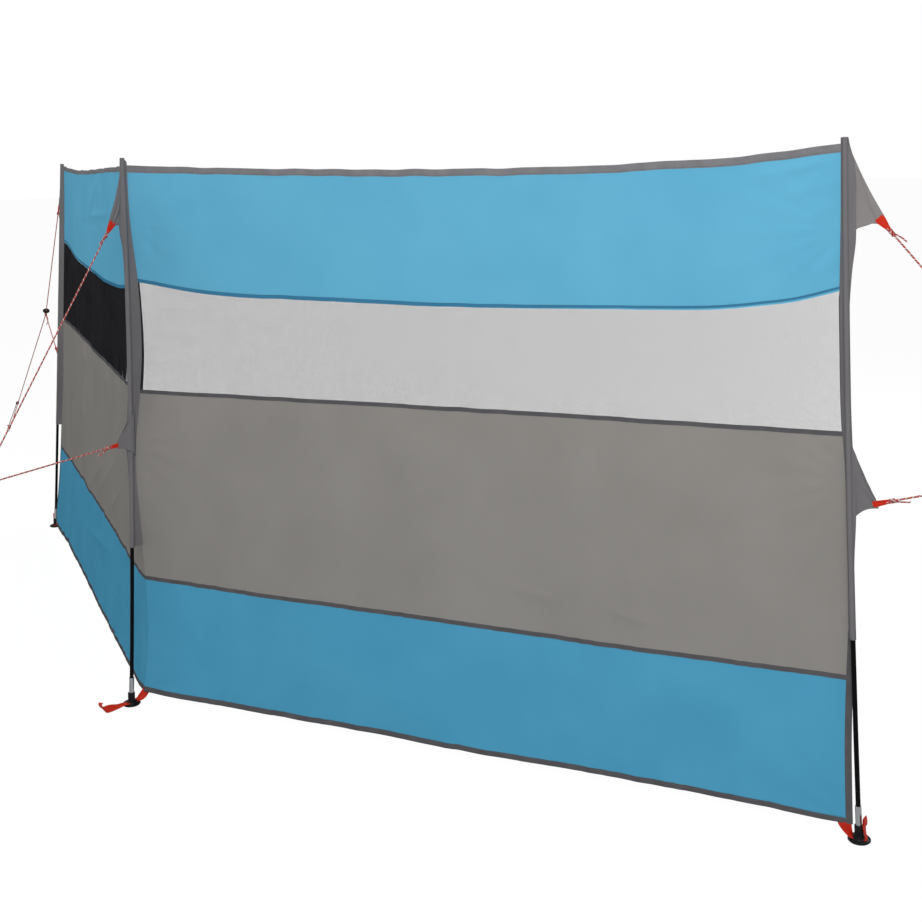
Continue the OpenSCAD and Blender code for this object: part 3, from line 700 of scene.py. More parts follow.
def net_tree():
    tree, given, result = new_tree("net", Columns="Int", Rows="Int", Thread="Float", Slack="Float",
                                   Facing="Vector", Material="Material")
    surface = given.outputs["Geometry"]
    here = add(tree, "GeometryNodeInputPosition").outputs[0]
    chart = add(tree, "GeometryNodeInputNamedAttribute", {"Name": "UVMap"}, data_type="FLOAT_VECTOR")
    section = add(tree, "GeometryNodeCurvePrimitiveQuadrilateral",
                  {"Width": given.outputs["Thread"], "Height": given.outputs["Thread"]})
    sets = []
    for seed, count, start, end, across, steps in THREADS:
        line = add(tree, "GeometryNodeCurvePrimitiveLine", {"Start": start, "End": end})
        fine = add(tree, "GeometryNodeResampleCurve", {"Curve": line.outputs[0], "Count": steps})
        first = tuple(EDGE_SHARE * (v > 0) for v in across)
        spots = add(tree, "GeometryNodeMeshLine", {"Count": given.outputs[count], "Start Location": first,
                                                  "Offset": tuple(a + b for a, b in zip(first, across))},
                    mode="END_POINTS")
        pitch = add(tree, "ShaderNodeMath", {0: given.outputs["Slack"], 1: given.outputs[count]},
                    operation="DIVIDE")
        play = add(tree, "ShaderNodeVectorMath", {0: across, "Scale": pitch.outputs[0]}, operation="SCALE")
        back = add(tree, "ShaderNodeVectorMath", {0: play.outputs[0], "Scale": -1.0}, operation="SCALE")
        shake = add(tree, "FunctionNodeRandomValue", {0: back.outputs[0], 1: play.outputs[0], "Seed": seed},
                    data_type="FLOAT_VECTOR")
        loose = add(tree, "GeometryNodeSetPosition",
                    {"Geometry": spots.outputs[0], "Offset": shake.outputs[0]})
        threads = add(tree, "GeometryNodeInstanceOnPoints", {"Points": loose.outputs[0],
                                                            "Instance": fine.outputs[0]})
        sets.append(add(tree, "GeometryNodeRealizeInstances", {"Geometry": threads.outputs[0]}).outputs[0])
    both = add(tree, "GeometryNodeJoinGeometry")
    for threads in reversed(sets):
        tree.links.new(threads, both.inputs[0])
    lift = add(tree, "GeometryNodeSampleUVSurface", data_type="FLOAT_VECTOR")
    for socket, source in zip(lift.inputs, (surface, here, chart.outputs["Attribute"], here)):
        tree.links.new(source, socket)
    laid = add(tree, "GeometryNodeSetPosition", {"Geometry": both.outputs[0], "Position": lift.outputs[0]})
    squared = add(tree, "GeometryNodeSetCurveNormal",
                  {"Curve": laid.outputs[0], "Normal": given.outputs["Facing"]}, mode="FREE")
    swept = add(tree, "GeometryNodeCurveToMesh",
                {"Curve": squared.outputs[0], "Profile Curve": section.outputs[0], "Fill Caps": True})
    return close_tree(tree, swept.outputs[0], given, result)


def window_surface(side):
    """Open grid of the window, with UVs from 0 to 1, to lay the net on."""
    columns, rows = 120, 12
    u = np.linspace(0, 1, columns + 1)[:, None]
    t = np.linspace(0, 1, rows + 1)[None, :]
    p = cloth(side, u, mix(seam_z(side, "middle", u), seam_z(side, "window", u), t))
    index = np.arange(p.shape[0] * p.shape[1]).reshape(p.shape[:2])
    quads = np.stack([index[:-1, :-1], index[1:, :-1], index[1:, 1:], index[:-1, 1:]], -1).reshape(-1, 4)
    mesh = bpy.data.meshes.new(side + "_window")
    mesh.from_pydata(p.reshape(-1, 3).tolist(), [], quads.tolist())
    chart = np.stack(np.broadcast_arrays(u, t), -1).reshape(-1, 2)
    mesh.uv_layers.new(name="UVMap").data.foreach_set("uv", chart[quads.ravel()].astype(np.float32).ravel())
    return mesh


# %% Nets
# Height of the cloth that each band is cut from, in metres
CUT = {"upper": 0.294, "net": 0.278, "grey": 0.504, "lower": 0.281}
net = net_tree()
for side in SIDES:
    piece = grow(side + "_net", window_surface(side), net, Columns=round(BAY_W / NET_PITCH),
                 Rows=round(CUT["net"] / NET_PITCH), Thread=NET_THREAD, Slack=NET_SLACK,
                 Facing=handed(side, BAY_OUT).tolist(), Material=net_thread)
    dress(piece, "black_mesh", side + "_mesh_window")

# %% [markdown]
# Beside the sleeves a narrow dark strip, a solid sheet in the net's colour, runs down the window there,
# wider at the middle pole than at the ends.

# %% Dark strips beside the sleeves
DARK_STRIP = ((820, 9), (960, 7), (1100, 4))
END_DARK_STRIP = 2.5 * MM
for side in SIDES:
    z = mix(seam_z(side, "middle", 0), seam_z(side, "window", 0), np.linspace(0, 1, 30))[None, :]
    u = np.linspace(0, 1, 4)[:, None] * up_pole(DARK_STRIP, z) / BAY_W
    lofts = Lofts()
    for strip in (u, 1 - np.linspace(1, 0, 4)[:, None] * END_DARK_STRIP / BAY_W + 0 * z):
        rise = z + 0 * strip
        lofts.add(sheet_rings(cloth(side, strip, rise), 2 * CLOTH_T), sheet_uv(strip * BAY_W, rise))
    dress(lofts.make(side + "_net_edge", net_thread), "black_mesh")

# %% Stitch tree
STITCH_PITCH, STITCH_LEN, STITCH_W = 6 * MM, 4 * MM, 0.7 * MM


def stitch_tree():
    tree, given, result = new_tree("stitches", Pitch="Float", Length="Float", Width="Float",
                                   Material="Material")
    path = add(tree, "GeometryNodeMeshToCurve", {"Mesh": given.outputs["Geometry"]})
    even = add(tree, "GeometryNodeResampleCurve",
               {"Curve": path.outputs[0], "Length": given.outputs["Pitch"]}, mode="LENGTH")
    bead = add(tree, "GeometryNodeMeshIcoSphere", {"Radius": 0.5, "Subdivisions": 1})
    size = add(tree, "ShaderNodeCombineXYZ", {"X": given.outputs["Length"], "Y": given.outputs["Width"],
                                             "Z": given.outputs["Width"]})
    shape = add(tree, "GeometryNodeTransform", {"Geometry": bead.outputs[0], "Scale": size.outputs[0]})
    heading = add(tree, "GeometryNodeInputTangent")
    turn = add(tree, "FunctionNodeAlignRotationToVector", {"Vector": heading.outputs[0]}, axis="X")
    row = add(tree, "GeometryNodeInstanceOnPoints", {"Points": even.outputs[0], "Instance": shape.outputs[0],
                                                    "Rotation": turn.outputs[0]})
    return close_tree(tree, row.outputs[0], given, result)


def line_mesh(name, lines):
    """A mesh of polylines, for a tree to follow."""
    edges, start = [], 0
    for line in lines:
        edges += [(start + k, start + k + 1) for k in range(len(line) - 1)]
        start += len(line)
    mesh = bpy.data.meshes.new(name)
    mesh.from_pydata(np.concatenate(lines).tolist(), edges, [])
    return mesh


# %% Stitches of the bays
# Seam, height over it and stand-off of each line of stitches, in millimetres
STITCH_ROWS = (("bottom", 12, 1.1), ("lower", -2.5, 0.8), ("lower", 4.5, 0.8), ("middle", -8.5, 0.8),
               ("middle", -1.5, 0.8), ("window", 7.5, 0.8), ("upper", 3, 1.1))
stitches = stitch_tree()
for side in SIDES:
    u = np.linspace(0.004, 0.996, 260)
    lines = [cloth(side, u, seam_z(side, name, u) + over * MM, face * off * MM)
             for name, over, off in STITCH_ROWS for face in (-1, 1)]
    piece = grow(side + "_seam_stitches", line_mesh(side + "_lines", lines), stitches, Pitch=STITCH_PITCH,
                 Length=STITCH_LEN, Width=STITCH_W, Material=sewing_thread)
    dress(piece, "grey_binding")

# %% [markdown]
# ## Sleeves
# A sleeve is a strip of stouter cloth, folded round the pole and sewn to the bay. Seen from above it is a
# skin drawn round the pole: it touches the rod on an arc, runs back to the seam, and in front the flaps
# draw it out to a fold at two heights. A seam holds it close to the rod and leaves a crease beside it. It
# is open below and closed at its tip.

# %% Sleeves
SLEEVE_T = 0.7 * MM
SLEEVE_CUT = {"left": 66 * MM, "middle": 86 * MM, "right": 66 * MM}
SLEEVE_FOOT = {"left": 402 * MM, "middle": SLEEVE_LOW, "right": 402 * MM}
WRAP_R = POLE_R + 1.0 * MM
FIN_HALF = 0.9 * MM
# How far the skin sinks in before and behind the pole, and the least angle over which it clings to it
FRONT_SINK, BACK_SINK, CLING = 0.6, 0.55, radians(16)
SLEEVE_ROWS = 130


def toward(turn, reach):
    """Points at an angle and a distance from the pole's axis."""
    return np.stack([np.cos(turn) * reach, np.sin(turn) * reach], -1)


def sleeve_side(name, z, way, inset):
    """Half of a sleeve's section, from its front fold round the pole to the seam: (rows, points, s and y)."""
    fin = up_pole(FOLD_FIN if name == "middle" else END_FIN, z) + 1 * MM
    aside = 0 * z if name == "middle" else up_pole(END_IN, z)
    r = WRAP_R - inset
    out = np.maximum(sleeve_out(name, z) - 1.5 * inset, r * 1.03)
    far = np.maximum(np.hypot(fin, aside) - 1.5 * inset, r * 1.05)
    heading = np.arctan2(aside, -fin)
    front, back = np.arccos(r / out), np.arccos(r / far)
    start = way * np.minimum(front, CLING)
    leave = np.minimum(back, CLING) if name == "middle" else back
    stop = heading - leave if way > 0 else heading + leave - 2 * pi
    crossed = (stop - start) * way < 0
    start, stop = (np.where(crossed, (start + stop) / 2, turn) for turn in (start, stop))
    half = FIN_HALF - inset
    fold = np.stack([out, way * half + 0 * out], -1)
    square = way * np.stack([np.sin(heading), -np.cos(heading)], -1)
    seam = toward(heading, far) + half * square
    t = np.linspace(0, 1, 8)[None, :, None]
    draw = mix(fold, toward(start, r), t)
    draw = draw * np.stack([1 + 0 * t[..., 0], 1 - FRONT_SINK * np.sin(pi * t[..., 0])], -1)
    arc = toward(mix(start, stop, np.linspace(0, 1, 14)[None, 1:-1]), r)
    run = mix(toward(stop, r), seam, t)
    off = (run * square).sum(-1, keepdims=True) * square
    run = run - BACK_SINK * np.sin(pi * t) * off * np.clip(fin[..., None] / (14 * MM) - 0.3, 0, 1)
    return np.concatenate([draw, arc, run], axis=1)


def sleeve_rings(name, inset):
    """Rings of a sleeve's skin, from its lower end up to its tip; inset gives the inner face."""
    t = np.linspace(0, 1, SLEEVE_ROWS + 1)[:, None]
    foot = SLEEVE_FOOT[name]
    z = mix(foot, SLEEVE_TOP, t)
    halves = []
    for way in (1, -1):
        plan = sleeve_side(name, z, way, inset)
        s, y = plan[..., 0], plan[..., 1]
        sway = lattice(70 + len(name), s / 0.012 + 5, z / 0.13)
        y = y + 1.0 * MM * sway * np.clip(s / WRAP_R - 0.9, 0, 1.5)
        crumple = np.abs(lattice(80 + len(name) + way, z / 0.05, np.arctan2(y, s)))
        ease = 1 + 0.07 * crumple * (np.abs(s) < WRAP_R)
        drop = 1.1 * np.maximum(-3 * MM - s, 0) if name == "middle" else 0.2 * np.maximum(-WRAP_R - s, 0)
        tip = SLEEVE_TOP - inset - drop - 1.4 * np.maximum(s - WRAP_R, 0)
        halves.append(on_pole(name, axis_s(name, z) + s * ease, y * ease, foot + (tip - foot) * t))
    return np.concatenate([halves[0], halves[1][:, ::-1]], axis=1), z


for name in POLES:
    outer, z = sleeve_rings(name, 0.0)
    inner, _ = sleeve_rings(name, SLEEVE_T)
    around = np.linspace(0, SLEEVE_CUT[name], outer.shape[1] + 1)[None, :]
    rings = np.concatenate([inner[::-1], outer])
    heights = np.concatenate([z[::-1], z])
    lofts = Lofts()
    lofts.add(rings, np.stack(np.broadcast_arrays(around, heights), -1))
    dress(lofts.make(name + "_sleeve_cloth", sleeve_cloth, sharp=70), "grey_sleeve_cloth",
                          name + "_sleeve")

# %% [markdown]
# ## Guy flaps and tabs
# Two triangles of cloth on each sleeve spread the pull of the guy. Their lower edge curves, and the cloth
# gathers in small folds towards the red webbing tab at the tip. The lower one of the middle pole is folded
# round the sleeve and sewn in with the fold of the bays, so it lies on the sleeve from both sides.

# %% Flaps
# Reach of the upper and the lower tip from the pole's axis, and their heights
TIPS = {"end": ((71, 1257), (54, 682)), "middle": ((39, 1257), (38, 682))}
KNOTS = {"end": (445, 790), "middle": (390, 650)}
# Heights of their roots on the sleeve
ROOTS = {"end": ((1236, 1396), (650, 802)), "middle": ((1250, 1400), (646, 800))}
FLAP_T = 0.8 * MM
GATHERED, TURNED = 60 * MM, 18 * MM  # cloth that is gathered into a tab, and cloth turned in for the hems
STRAP_W, STRAP_T, TAB_LEN = 20 * MM, 1.8 * MM, 24 * MM


def kind(name):
    return "middle" if name == "middle" else "end"


def tips(name):
    """The upper and the lower tip in the pole's plane."""
    return [np.array([axis_s(name, z * MM) + reach * MM, z * MM]) for reach, z in TIPS[kind(name)]]


def knot_of(name):
    return np.array(KNOTS[kind(name)]) * MM


def across(v):
    return np.array([-v[1], v[0]])


def embraces(name, level):
    return name == "middle" and level == 1


def flap_plan(name, level, steps, low, high, rows):
    """Shares along a flap and up it, and its grid in the pole's plane, from the sleeve to the tip."""
    tip = tips(name)[level]
    half = STRAP_W / 2 * across(unit(knot_of(name) - tip))
    foot, head = np.array(ROOTS[kind(name)][level]) * MM
    a = np.linspace(0, 1, steps + 1)[:, None]
    b = np.linspace(low, high, rows + 1)[None, :]
    z = mix(foot, head, b)
    start = 2 * MM - up_pole(FOLD_FIN, z) if embraces(name, level) else sleeve_out(name, z) - 3 * MM
    root = np.stack([axis_s(name, z) + start, z], -1)
    lower = mix(root[:, 0], tip - half, a) + np.sin(pi * a) * np.array([-2, 6]) * MM
    upper = mix(root[:, -1], tip + half, a) + np.sin(pi * a) * np.array([-2, -3]) * MM
    share = ((b - low) / (high - low))[..., None]
    spread = mix(lower[:, None], upper[:, None], share)
    bow = (root - mix(root[:, :1], root[:, -1:], share)) * ((1 - a) ** 2)[..., None]
    return a, b, spread + bow


# Stand-off of the folded flap from the pole's plane, at places along s
EMBRACE = ((-40, 1.4), (-12, 2.5), (-5, 7.6), (3, 7.8), (12, 5), (38, 0.9))
FOLD_DEPTH = {"end": 1.0 * MM, "middle": 2.4 * MM}
# Hems of a flap: both shares of its height, and their swell
FLAP_HEMS = ((0.965, 1.0, 0.9), (0.0, 0.03, 0.7))


def flap_surface(name, level, way=0, low=0.0, high=1.0, rows=22):
    """Points of a flap, gathered in folds to its tip, with their UVs; way is the face of a folded one."""
    a, b, plan = flap_plan(name, level, 30, low, high, rows)
    fold = FOLD_DEPTH[kind(name)] * np.sin(5 * pi * b + 2 * a + level)
    gather = fold * np.sin(pi * b) * np.sin(pi * a ** 1.5)
    bulge = 3.0 * MM * np.sin(pi * a) * np.sin(pi * b)
    ripple = 0.8 * MM * lattice(90 + len(name), a * 6, b * 7) * np.sin(pi * a)
    place, height = np.array(EMBRACE).T * MM
    stand = np.interp(plan[..., 0] - axis_s(name, plan[..., 1]), place, height)
    lift = way * (stand + 0.3 * np.abs(gather + ripple)) if way else gather + bulge + ripple
    p = on_pole(name, plan[..., 0], lift, plan[..., 1])
    return p, sheet_uv(plan[..., 0], plan[..., 1])


flaps, flap_cut, flap_area = {}, {}, {}
for name in POLES:
    lofts, flap_area[name] = Lofts(), 0.0
    tall = [(head - foot) * MM for foot, head in ROOTS[kind(name)]]
    for level in (0, 1):
        for way in (-1, 1) if embraces(name, level) else (0,):
            p, uv = flap_surface(name, level, way)
            lofts.add(sheet_rings(p, FLAP_T), uv, level)
            depth = uv[-1, :, 0].mean() - uv[0, :, 0].mean()
            flap_area[name] += depth * ((tall[level] + GATHERED) / 2 + TURNED)
            for low, high, swell in FLAP_HEMS:
                p, uv = flap_surface(name, level, way, low, high, rows=5)
                lofts.add(sheet_rings(p, swell * ROUND[None, :]), uv, level)
    flap_cut[name] = (sum(tall), max(flap_area[name] / sum(tall), TIPS[kind(name)][0][0] * MM))
    # The upper flaps of the end poles take the lighter copy of the oxford cloth, which is painted light; the
    # other flaps take the sleeves' cloth.
    upper_skin = sleeve_cloth if name == "middle" else flap_cloth_painted_light
    piece = lofts.make(name + "_flaps", upper_skin, sleeve_cloth)
    flaps[name] = dress(piece, "grey_sleeve_cloth", name + "_guy_flaps")

# %% Tabs
# Widths of the upper and the lower tab, from root to nose, and their thickness
TAB_WIDTHS = ((19, 20, 10, 9, 6), (12, 12, 9, 8, 6))
TAB_THICK = (3.0, 3.4, 4.2, 3.8, 2.2)


def tab_rings(name, level):
    """Folded webbing that narrows from the flap's tip to a rounded nose; a lower one is rolled narrower."""
    tip = tips(name)[level]
    pull = unit(knot_of(name) - tip)
    t = np.linspace(0, 1, 16)[:, None]
    reach = mix(-9 * MM, TAB_LEN, t)
    wide = np.interp(t, [0, 0.27, 0.85, 0.95, 1], np.array(TAB_WIDTHS[level]) / 2 * MM)
    thick = np.interp(t, [0, 0.25, 0.8, 0.95, 1], np.array(TAB_THICK) / 2 * MM)
    k = np.linspace(-1, 1, 9)[None, :]
    swell = thick * (1 - 0.45 * k ** 6)
    pleat = 0.7 * MM * np.sin(2.2 * pi * k) * t * (1 - t) * 4
    s = tip[0] + pull[0] * reach + across(pull)[0] * wide * k
    z = tip[1] + pull[1] * reach + across(pull)[1] * wide * k
    over, under = on_pole(name, s, swell + pleat, z), on_pole(name, s, pleat - swell, z)
    return np.concatenate([over, under[:, ::-1]], axis=1), sheet_uv(wide * k, reach)


for name in POLES:
    lofts = Lofts()
    for level in (0, 1):
        lofts.add(*tab_rings(name, level))
    dress(lofts.make(name + "_tabs", webbing), "red_webbing", name + "_guy_tabs")

# %% [markdown]
# ## Guy lines
# The guys are taut, so their runs are straight. Each rope is a tube along its route. At a tab it is whipped
# round itself and leaves a short tail, and where two ropes meet it is knotted. Lower down it passes the
# runner, turns round the peg and comes back to a stopper knot.

# %% Ropes and knots
TAB_GAP = 0.3 * MM
KNOT_R = ROPE_D * 1.4
PEG_S = {"end": 2030 * MM, "middle": 1250 * MM}
LOOP_LEN, ROPE_LOW, PEG_D, BEND_D = 480 * MM, 12 * MM, 6 * MM, 4.4 * MM
RUNNER_PITCH, RUNNER_LEN = ROPE_D + 1.6 * MM, 16 * MM
WHIP_D, WHIP_R, KNOTTED_D = 3.4 * MM, 3.6 * MM, 3.6 * MM


def tube(lofts, points, d=ROPE_D, sides=10, run=0.0):
    """A round tube along points, with UVs around it and along it; returns the length at its end."""
    points = np.asarray(points, float)
    heading = unit(np.gradient(points, axis=0))
    side = np.cross(heading[0], [0.3, 0.2, 0.93])
    frames = []
    for way in heading:
        side = unit(side - way * (side @ way))
        frames.append(np.stack([side, np.cross(way, side)]))
    frames = np.array(frames)
    turn = np.linspace(0, 2 * pi, sides, endpoint=False)
    ring = np.stack([np.cos(turn), np.sin(turn)], -1) * d / 2
    length = run + np.concatenate([[0], np.cumsum(np.linalg.norm(np.diff(points, axis=0), axis=1))])
    uv = np.stack(np.broadcast_arrays(np.linspace(0, 1, sides + 1)[None, :], length[:, None]), -1)
    lofts.add(points[:, None] + np.einsum("kc,ncx->nkx", ring, frames), uv)
    return length[-1]


def straight(a, b, pitch=30 * MM):
    """Points from a to b."""
    steps = max(2, round(np.linalg.norm(b - a) / pitch))
    return mix(a, b, np.linspace(0, 1, steps + 1)[:, None])


def whipping(lofts, name, tip, pull, hang):
    """Rope wound round itself behind a tab, with a loop through the tab and a tail; hang is 1 up, -1 down."""
    side = across(pull)

    def spot(along, over, y):
        plan = tip + pull * along + side * over
        return on_pole(name, plan[0], y, plan[1])

    near = TAB_LEN + 3 * MM
    coil = [spot(near + WHIP_R * t / (2 * pi), WHIP_R * np.sin(t), WHIP_R * np.cos(t))
            for t in np.linspace(0, 6 * pi, 60)]
    loop = [spot(near - 8 * MM * np.sin(t), 3.0 * MM * np.cos(t), 2.6 * MM * np.cos(t))
            for t in np.linspace(0, pi, 14)]
    tail = [spot(TAB_LEN + 13 * MM + 26 * MM * t, hang * (3 * MM + 11 * MM * t - 4 * MM * t * t),
                 3 * MM + 5 * MM * np.sin(2 * t)) for t in np.linspace(0, 1, 10)]
    for route in (coil, loop, tail):
        tube(lofts, route, WHIP_D, 8)


def knot_ball(lofts, name, place, size):
    """An overhand knot, drawn as a closed trefoil."""
    t = np.linspace(0, 2 * pi, 64)
    ring = (2 + np.cos(3 * t)) / 3 * size
    tube(lofts, on_pole(name, place[0] + ring * np.cos(2 * t), np.sin(3 * t) * size * 0.55,
                        place[1] + ring * np.sin(2 * t)), KNOTTED_D, 8)


def guy(lofts, name):
    knot, hook = knot_of(name), np.array([PEG_S[kind(name)], ROPE_LOW])
    up = unit(knot - hook)
    turn = (PEG_D / 2 + BEND_D / 2 + TAB_GAP) / -up[0]
    for tip, hang in zip(tips(name), (1, -1)):
        pull = unit(knot - tip)
        route = straight(tip + pull * (TAB_LEN - 1 * MM), knot)
        tube(lofts, on_pole(name, route[:, 0], 0, route[:, 1]))
        whipping(lofts, name, tip, pull, hang)
    knot_ball(lofts, name, knot, 6.5 * MM)
    tail = np.linspace(0, 1, 12)
    tube(lofts, on_pole(name, knot[0] + 2 * MM + 7 * MM * tail, 4 * MM + 6 * MM * np.sin(3 * tail),
                        knot[1] - 5 * MM - 40 * MM * tail), KNOTTED_D, 8)
    share = LOOP_LEN / np.linalg.norm(knot - hook)
    beside = turn * (1 - share)
    stop = hook + up * (LOOP_LEN + RUNNER_LEN / 2 + KNOT_R)
    down, back = straight(knot, hook), straight(hook, stop)
    bend = np.linspace(0, pi, 18)[1:-1]
    plan = np.concatenate([down, hook - np.outer(np.sin(bend), up) * turn, back])
    sideways = np.concatenate([np.linspace(0, turn, len(down)), turn * np.cos(bend),
                               np.linspace(-turn, beside - RUNNER_PITCH, len(back))])
    tube(lofts, on_pole(name, plan[:, 0], sideways, plan[:, 1]))
    knot_ball(lofts, name, stop, 4.6 * MM)


for name in POLES:
    lofts = Lofts()
    guy(lofts, name)
    dress(lofts.make(name + "_guy_rope", rope_finish), "striped_rope", name + "_guy_line")

# %% [markdown]
# ## Foot straps
# A webbing strap is sewn under each bottom corner of the cloth, turns flat, runs through the slot of the
# foot and ends in a tail. Its stations are those of the CAD strap; here a smooth curve joins them.

# %% Foot straps
# Hub and flange of a foot, height of its slot, gap under the cloth, half width of the webbing; millimetres
HUB, FOOT_R, STRAP_Z, GROUND_GAP, HALF = 14.3, 23, 6.2, 22, 10


def twist(half, turn):
    """Half width that turns from across the foot (0) to along the cloth (90), as s, y and z."""
    return half * sin(radians(turn)), half * cos(radians(turn)), 0


def roll(half, turn):
    """Half width across the foot, rolled out of the level."""
    return 0, half * cos(radians(turn)), half * sin(radians(turn))


def end_corner():
    """A patch in line with the cloth, narrowing down to the slot; s, z and the half width, in millimetres."""
    return [(-28, GROUND_GAP + 11, 13.5, 0, 0), (-27.5, GROUND_GAP + 4, 13.5, 0, 0),
            (-23.5, 16, 10.5, 0.5, 0), (-19, 9.5, 6.5, 4, 0), (-HUB + 1, STRAP_Z + 0.4, 2, 9, 0.3),
            (0, STRAP_Z, 0, HALF, 0), (HUB, STRAP_Z, 0, HALF, 0)]


def middle_corner():
    """Aslant from the fold of the cloth down to the foot, where it turns flat."""
    return [(-50, GROUND_GAP + 7, -5, 5, -6), (-45, GROUND_GAP + 2.5, -5, 5.5, -6),
            (-36, 15.5, -5.3, 6, -5.9), (-27, 8.8, -4, 8, -3), (-20, STRAP_Z + 0.3, -1, 9.8, -0.6),
            (0, STRAP_Z, 0, HALF, 0), (HUB, STRAP_Z, 0, HALF, 0)]


def end_tail():
    """The tail stands up beside the ferrule, folded over at its tip."""
    return [(HUB - 0.5, STRAP_Z + 2, *twist(6.5, 5)), (12.2, 16, *twist(6.5, 8)), (10.9, 27, *twist(7.5, 12)),
            (10.3, 38, *twist(8, 12)), (10.8, 46, *twist(8, 12)), (12.5, 48.5, *twist(8, 12)),
            (13.8, 42, *twist(8, 12)), (13.8, 32, *twist(8, 12))]


def middle_tail():
    """The tail lies on the ground, tilted, and turns up at its end."""
    return [(FOOT_R + 2, STRAP_Z + 1, *roll(8, -8)), (FOOT_R + 15, 6.5, *roll(7, -30)),
            (FOOT_R + 30, 8, *roll(9, -40)), (FOOT_R + 44, 9, *roll(HALF, -45)),
            (FOOT_R + 54, 10, *roll(HALF, -32)), (FOOT_R + 61, 15, *roll(HALF, -8)),
            (FOOT_R + 65, 22, *roll(9.5, 8)), (FOOT_R + 67, 28, *roll(9, 10)),
            (FOOT_R + 65, 31, *roll(8, 10)), (FOOT_R + 62.5, 29, *roll(8, 10))]


def smooth_path(stations, steps=8):
    """A Catmull-Rom curve through the stations."""
    p = np.array(stations)
    p = np.concatenate([[2 * p[0] - p[1]], p, [2 * p[-1] - p[-2]]])
    t = np.linspace(0, 1, steps, endpoint=False)[:, None]
    runs = [0.5 * (2 * b + (c - a) * t + (2 * a - 5 * b + 4 * c - d) * t ** 2
                   + (3 * b - a - 3 * c + d) * t ** 3)
            for a, b, c, d in zip(p[:-3], p[1:-2], p[2:-1], p[3:])]
    return np.concatenate(runs + [p[-2:-1]])


def stand_point(name, p):
    """Points (s, y, z) of what stays on the ground and doesn't lean."""
    if name == "middle":
        return np.stack([p[..., 1], -p[..., 0], p[..., 2]], -1)
    made = END_FOOT + p[..., :1] * BAY_DIR - p[..., 1:2] * BAY_OUT
    made[..., 2] = p[..., 2]
    return handed(name, made)


def strap_rings(name, stations):
    path = smooth_path(stations) * MM
    middle = np.stack([path[:, 0], 0 * path[:, 0], path[:, 1]], -1)
    wide = path[:, 2:]
    way = np.gradient(middle, axis=0)
    deep = STRAP_T / 2 * unit(np.cross(way, wide))
    k = np.linspace(-1, 1, 9)[None, :, None]
    over = middle[:, None] + wide[:, None] * k + deep[:, None] * (1 - 0.5 * k ** 8)
    under = middle[:, None] + wide[:, None] * k - deep[:, None] * (1 - 0.5 * k ** 8)
    length = np.cumsum(np.linalg.norm(way, axis=1))[:, None]
    breadth = np.linalg.norm(wide, axis=1)[:, None] * k[..., 0]
    return stand_point(name, np.concatenate([over, under[:, ::-1]], axis=1)), sheet_uv(breadth, length)


for name in POLES:
    stations = middle_corner() + middle_tail() if name == "middle" else end_corner() + end_tail()
    lofts = Lofts()
    lofts.add(*strap_rings(name, stations))
    dress(lofts.make(name + "_strap", webbing), "red_webbing", name + "_foot_strap")

# %% [markdown]
# ## What is cloth
# The bands, nets, sleeves and flaps are sheets that the poles and guys stretch. The cell below only
# unpacks the tapes of each bay again.

# %% Sheets
for side in SIDES:
    top, hem, seams = tapes[side]

# %% [markdown]
# ## Studio
# The photograph is a cut-out on white. A wide pale floor and a white world stand for that. The floor shows
# itself to the camera almost as plain white, and keeps a faint shadow. A large soft lamp above the right
# makes the end of the right bay the brightest place, a small one keeps the left bay from going dull, and
# one behind is for the views of the sheltered side. All hang high, which leaves the foot of the cloth a
# little darker than its top.

# %% Floor and world
FLOOR = 60.0
# Strength of the floor's own white, its share over the shaded paper, and the world's light on the pieces
GLOW, GLOW_SHARE, AMBIENT = 1.06, 0.9, 0.30


def seen_directly(tree):
    """1 for what the camera sees, in a mirror too, and 0 for light that falls on the pieces."""
    path = add(tree, "ShaderNodeLightPath")
    return add(tree, "ShaderNodeMath", {0: path.outputs["Is Camera Ray"], 1: path.outputs["Is Glossy Ray"]},
               operation="MAXIMUM").outputs[0]


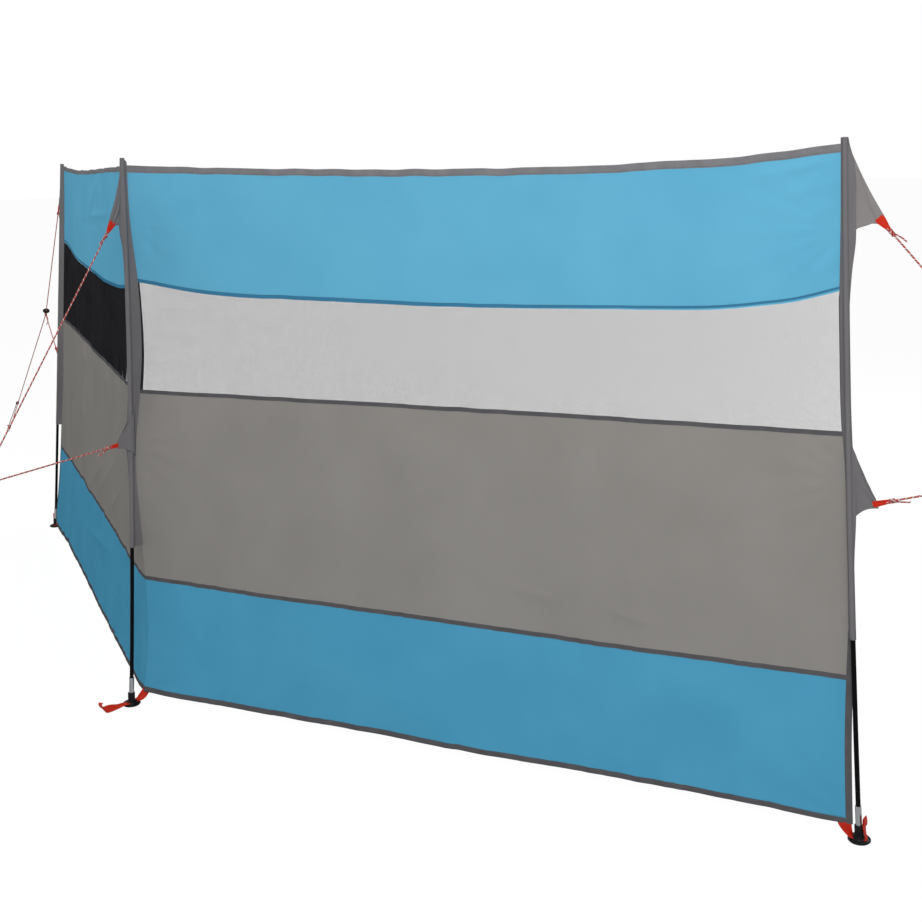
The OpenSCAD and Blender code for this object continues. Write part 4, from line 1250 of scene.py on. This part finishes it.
floor_mesh = bpy.data.meshes.new("floor")
floor_mesh.from_pydata([(-FLOOR, -FLOOR, 0), (FLOOR, -FLOOR, 0), (FLOOR, FLOOR, 0), (-FLOOR, FLOOR, 0)], [],
                       [(0, 1, 2, 3)])
floor = bpy.data.objects.new("floor", floor_mesh)
bpy.context.scene.collection.objects.link(floor)
paper = bpy.data.materials.new("white paper")
paper.use_nodes = True
tree = paper.node_tree
tree.nodes.remove(tree.nodes["Principled BSDF"])
share = add(tree, "ShaderNodeMath", {0: seen_directly(tree), 1: GLOW_SHARE}, operation="MULTIPLY")
matt = add(tree, "ShaderNodeBsdfDiffuse", {"Color": linear("#d6d6d6")})
glow = add(tree, "ShaderNodeEmission", {"Color": (1, 1, 1, 1), "Strength": GLOW})
shown = add(tree, "ShaderNodeMixShader", {0: share.outputs[0], 1: matt.outputs[0], 2: glow.outputs[0]})
tree.links.new(shown.outputs[0], tree.nodes["Material Output"].inputs["Surface"])
floor_mesh.materials.append(paper)

world = bpy.data.worlds.new("white studio")
bpy.context.scene.world = world
world.use_nodes = True
tree = world.node_tree
level = add(tree, "ShaderNodeMapRange", {"Value": seen_directly(tree), "To Min": AMBIENT, "To Max": 1.0})
tree.links.new(level.outputs["Result"], tree.nodes["Background"].inputs["Strength"])
tree.nodes["Background"].inputs["Color"].default_value = (1, 1, 1, 1)

# %% Lamps


def lamp(name, place, target, size, watts):
    light = bpy.data.lights.new(name, "AREA")
    light.shape, light.size, light.energy = "DISK", size, watts
    stand = bpy.data.objects.new(name, light)
    stand.location = place
    aim = np.array(target) - np.array(place)
    stand.rotation_euler = Vector(aim).to_track_quat("-Z", "Y").to_euler()
    bpy.context.scene.collection.objects.link(stand)


lamp("soft key above the right", (3.1, -2.0, 3.0), (0.6, 0.4, 0.8), 2.0, 108)
lamp("soft fill above the left", (-1.8, -1.5, 2.7), (-1.0, 0.6, 1.4), 1.2, 30)
lamp("soft light behind", (0.6, 4.2, 3.4), (0.0, 0.5, 0.7), 2.4, 90)
bpy.context.scene.view_settings.view_transform = "Standard"
print("lamps:", [light.name for light in bpy.data.lights])
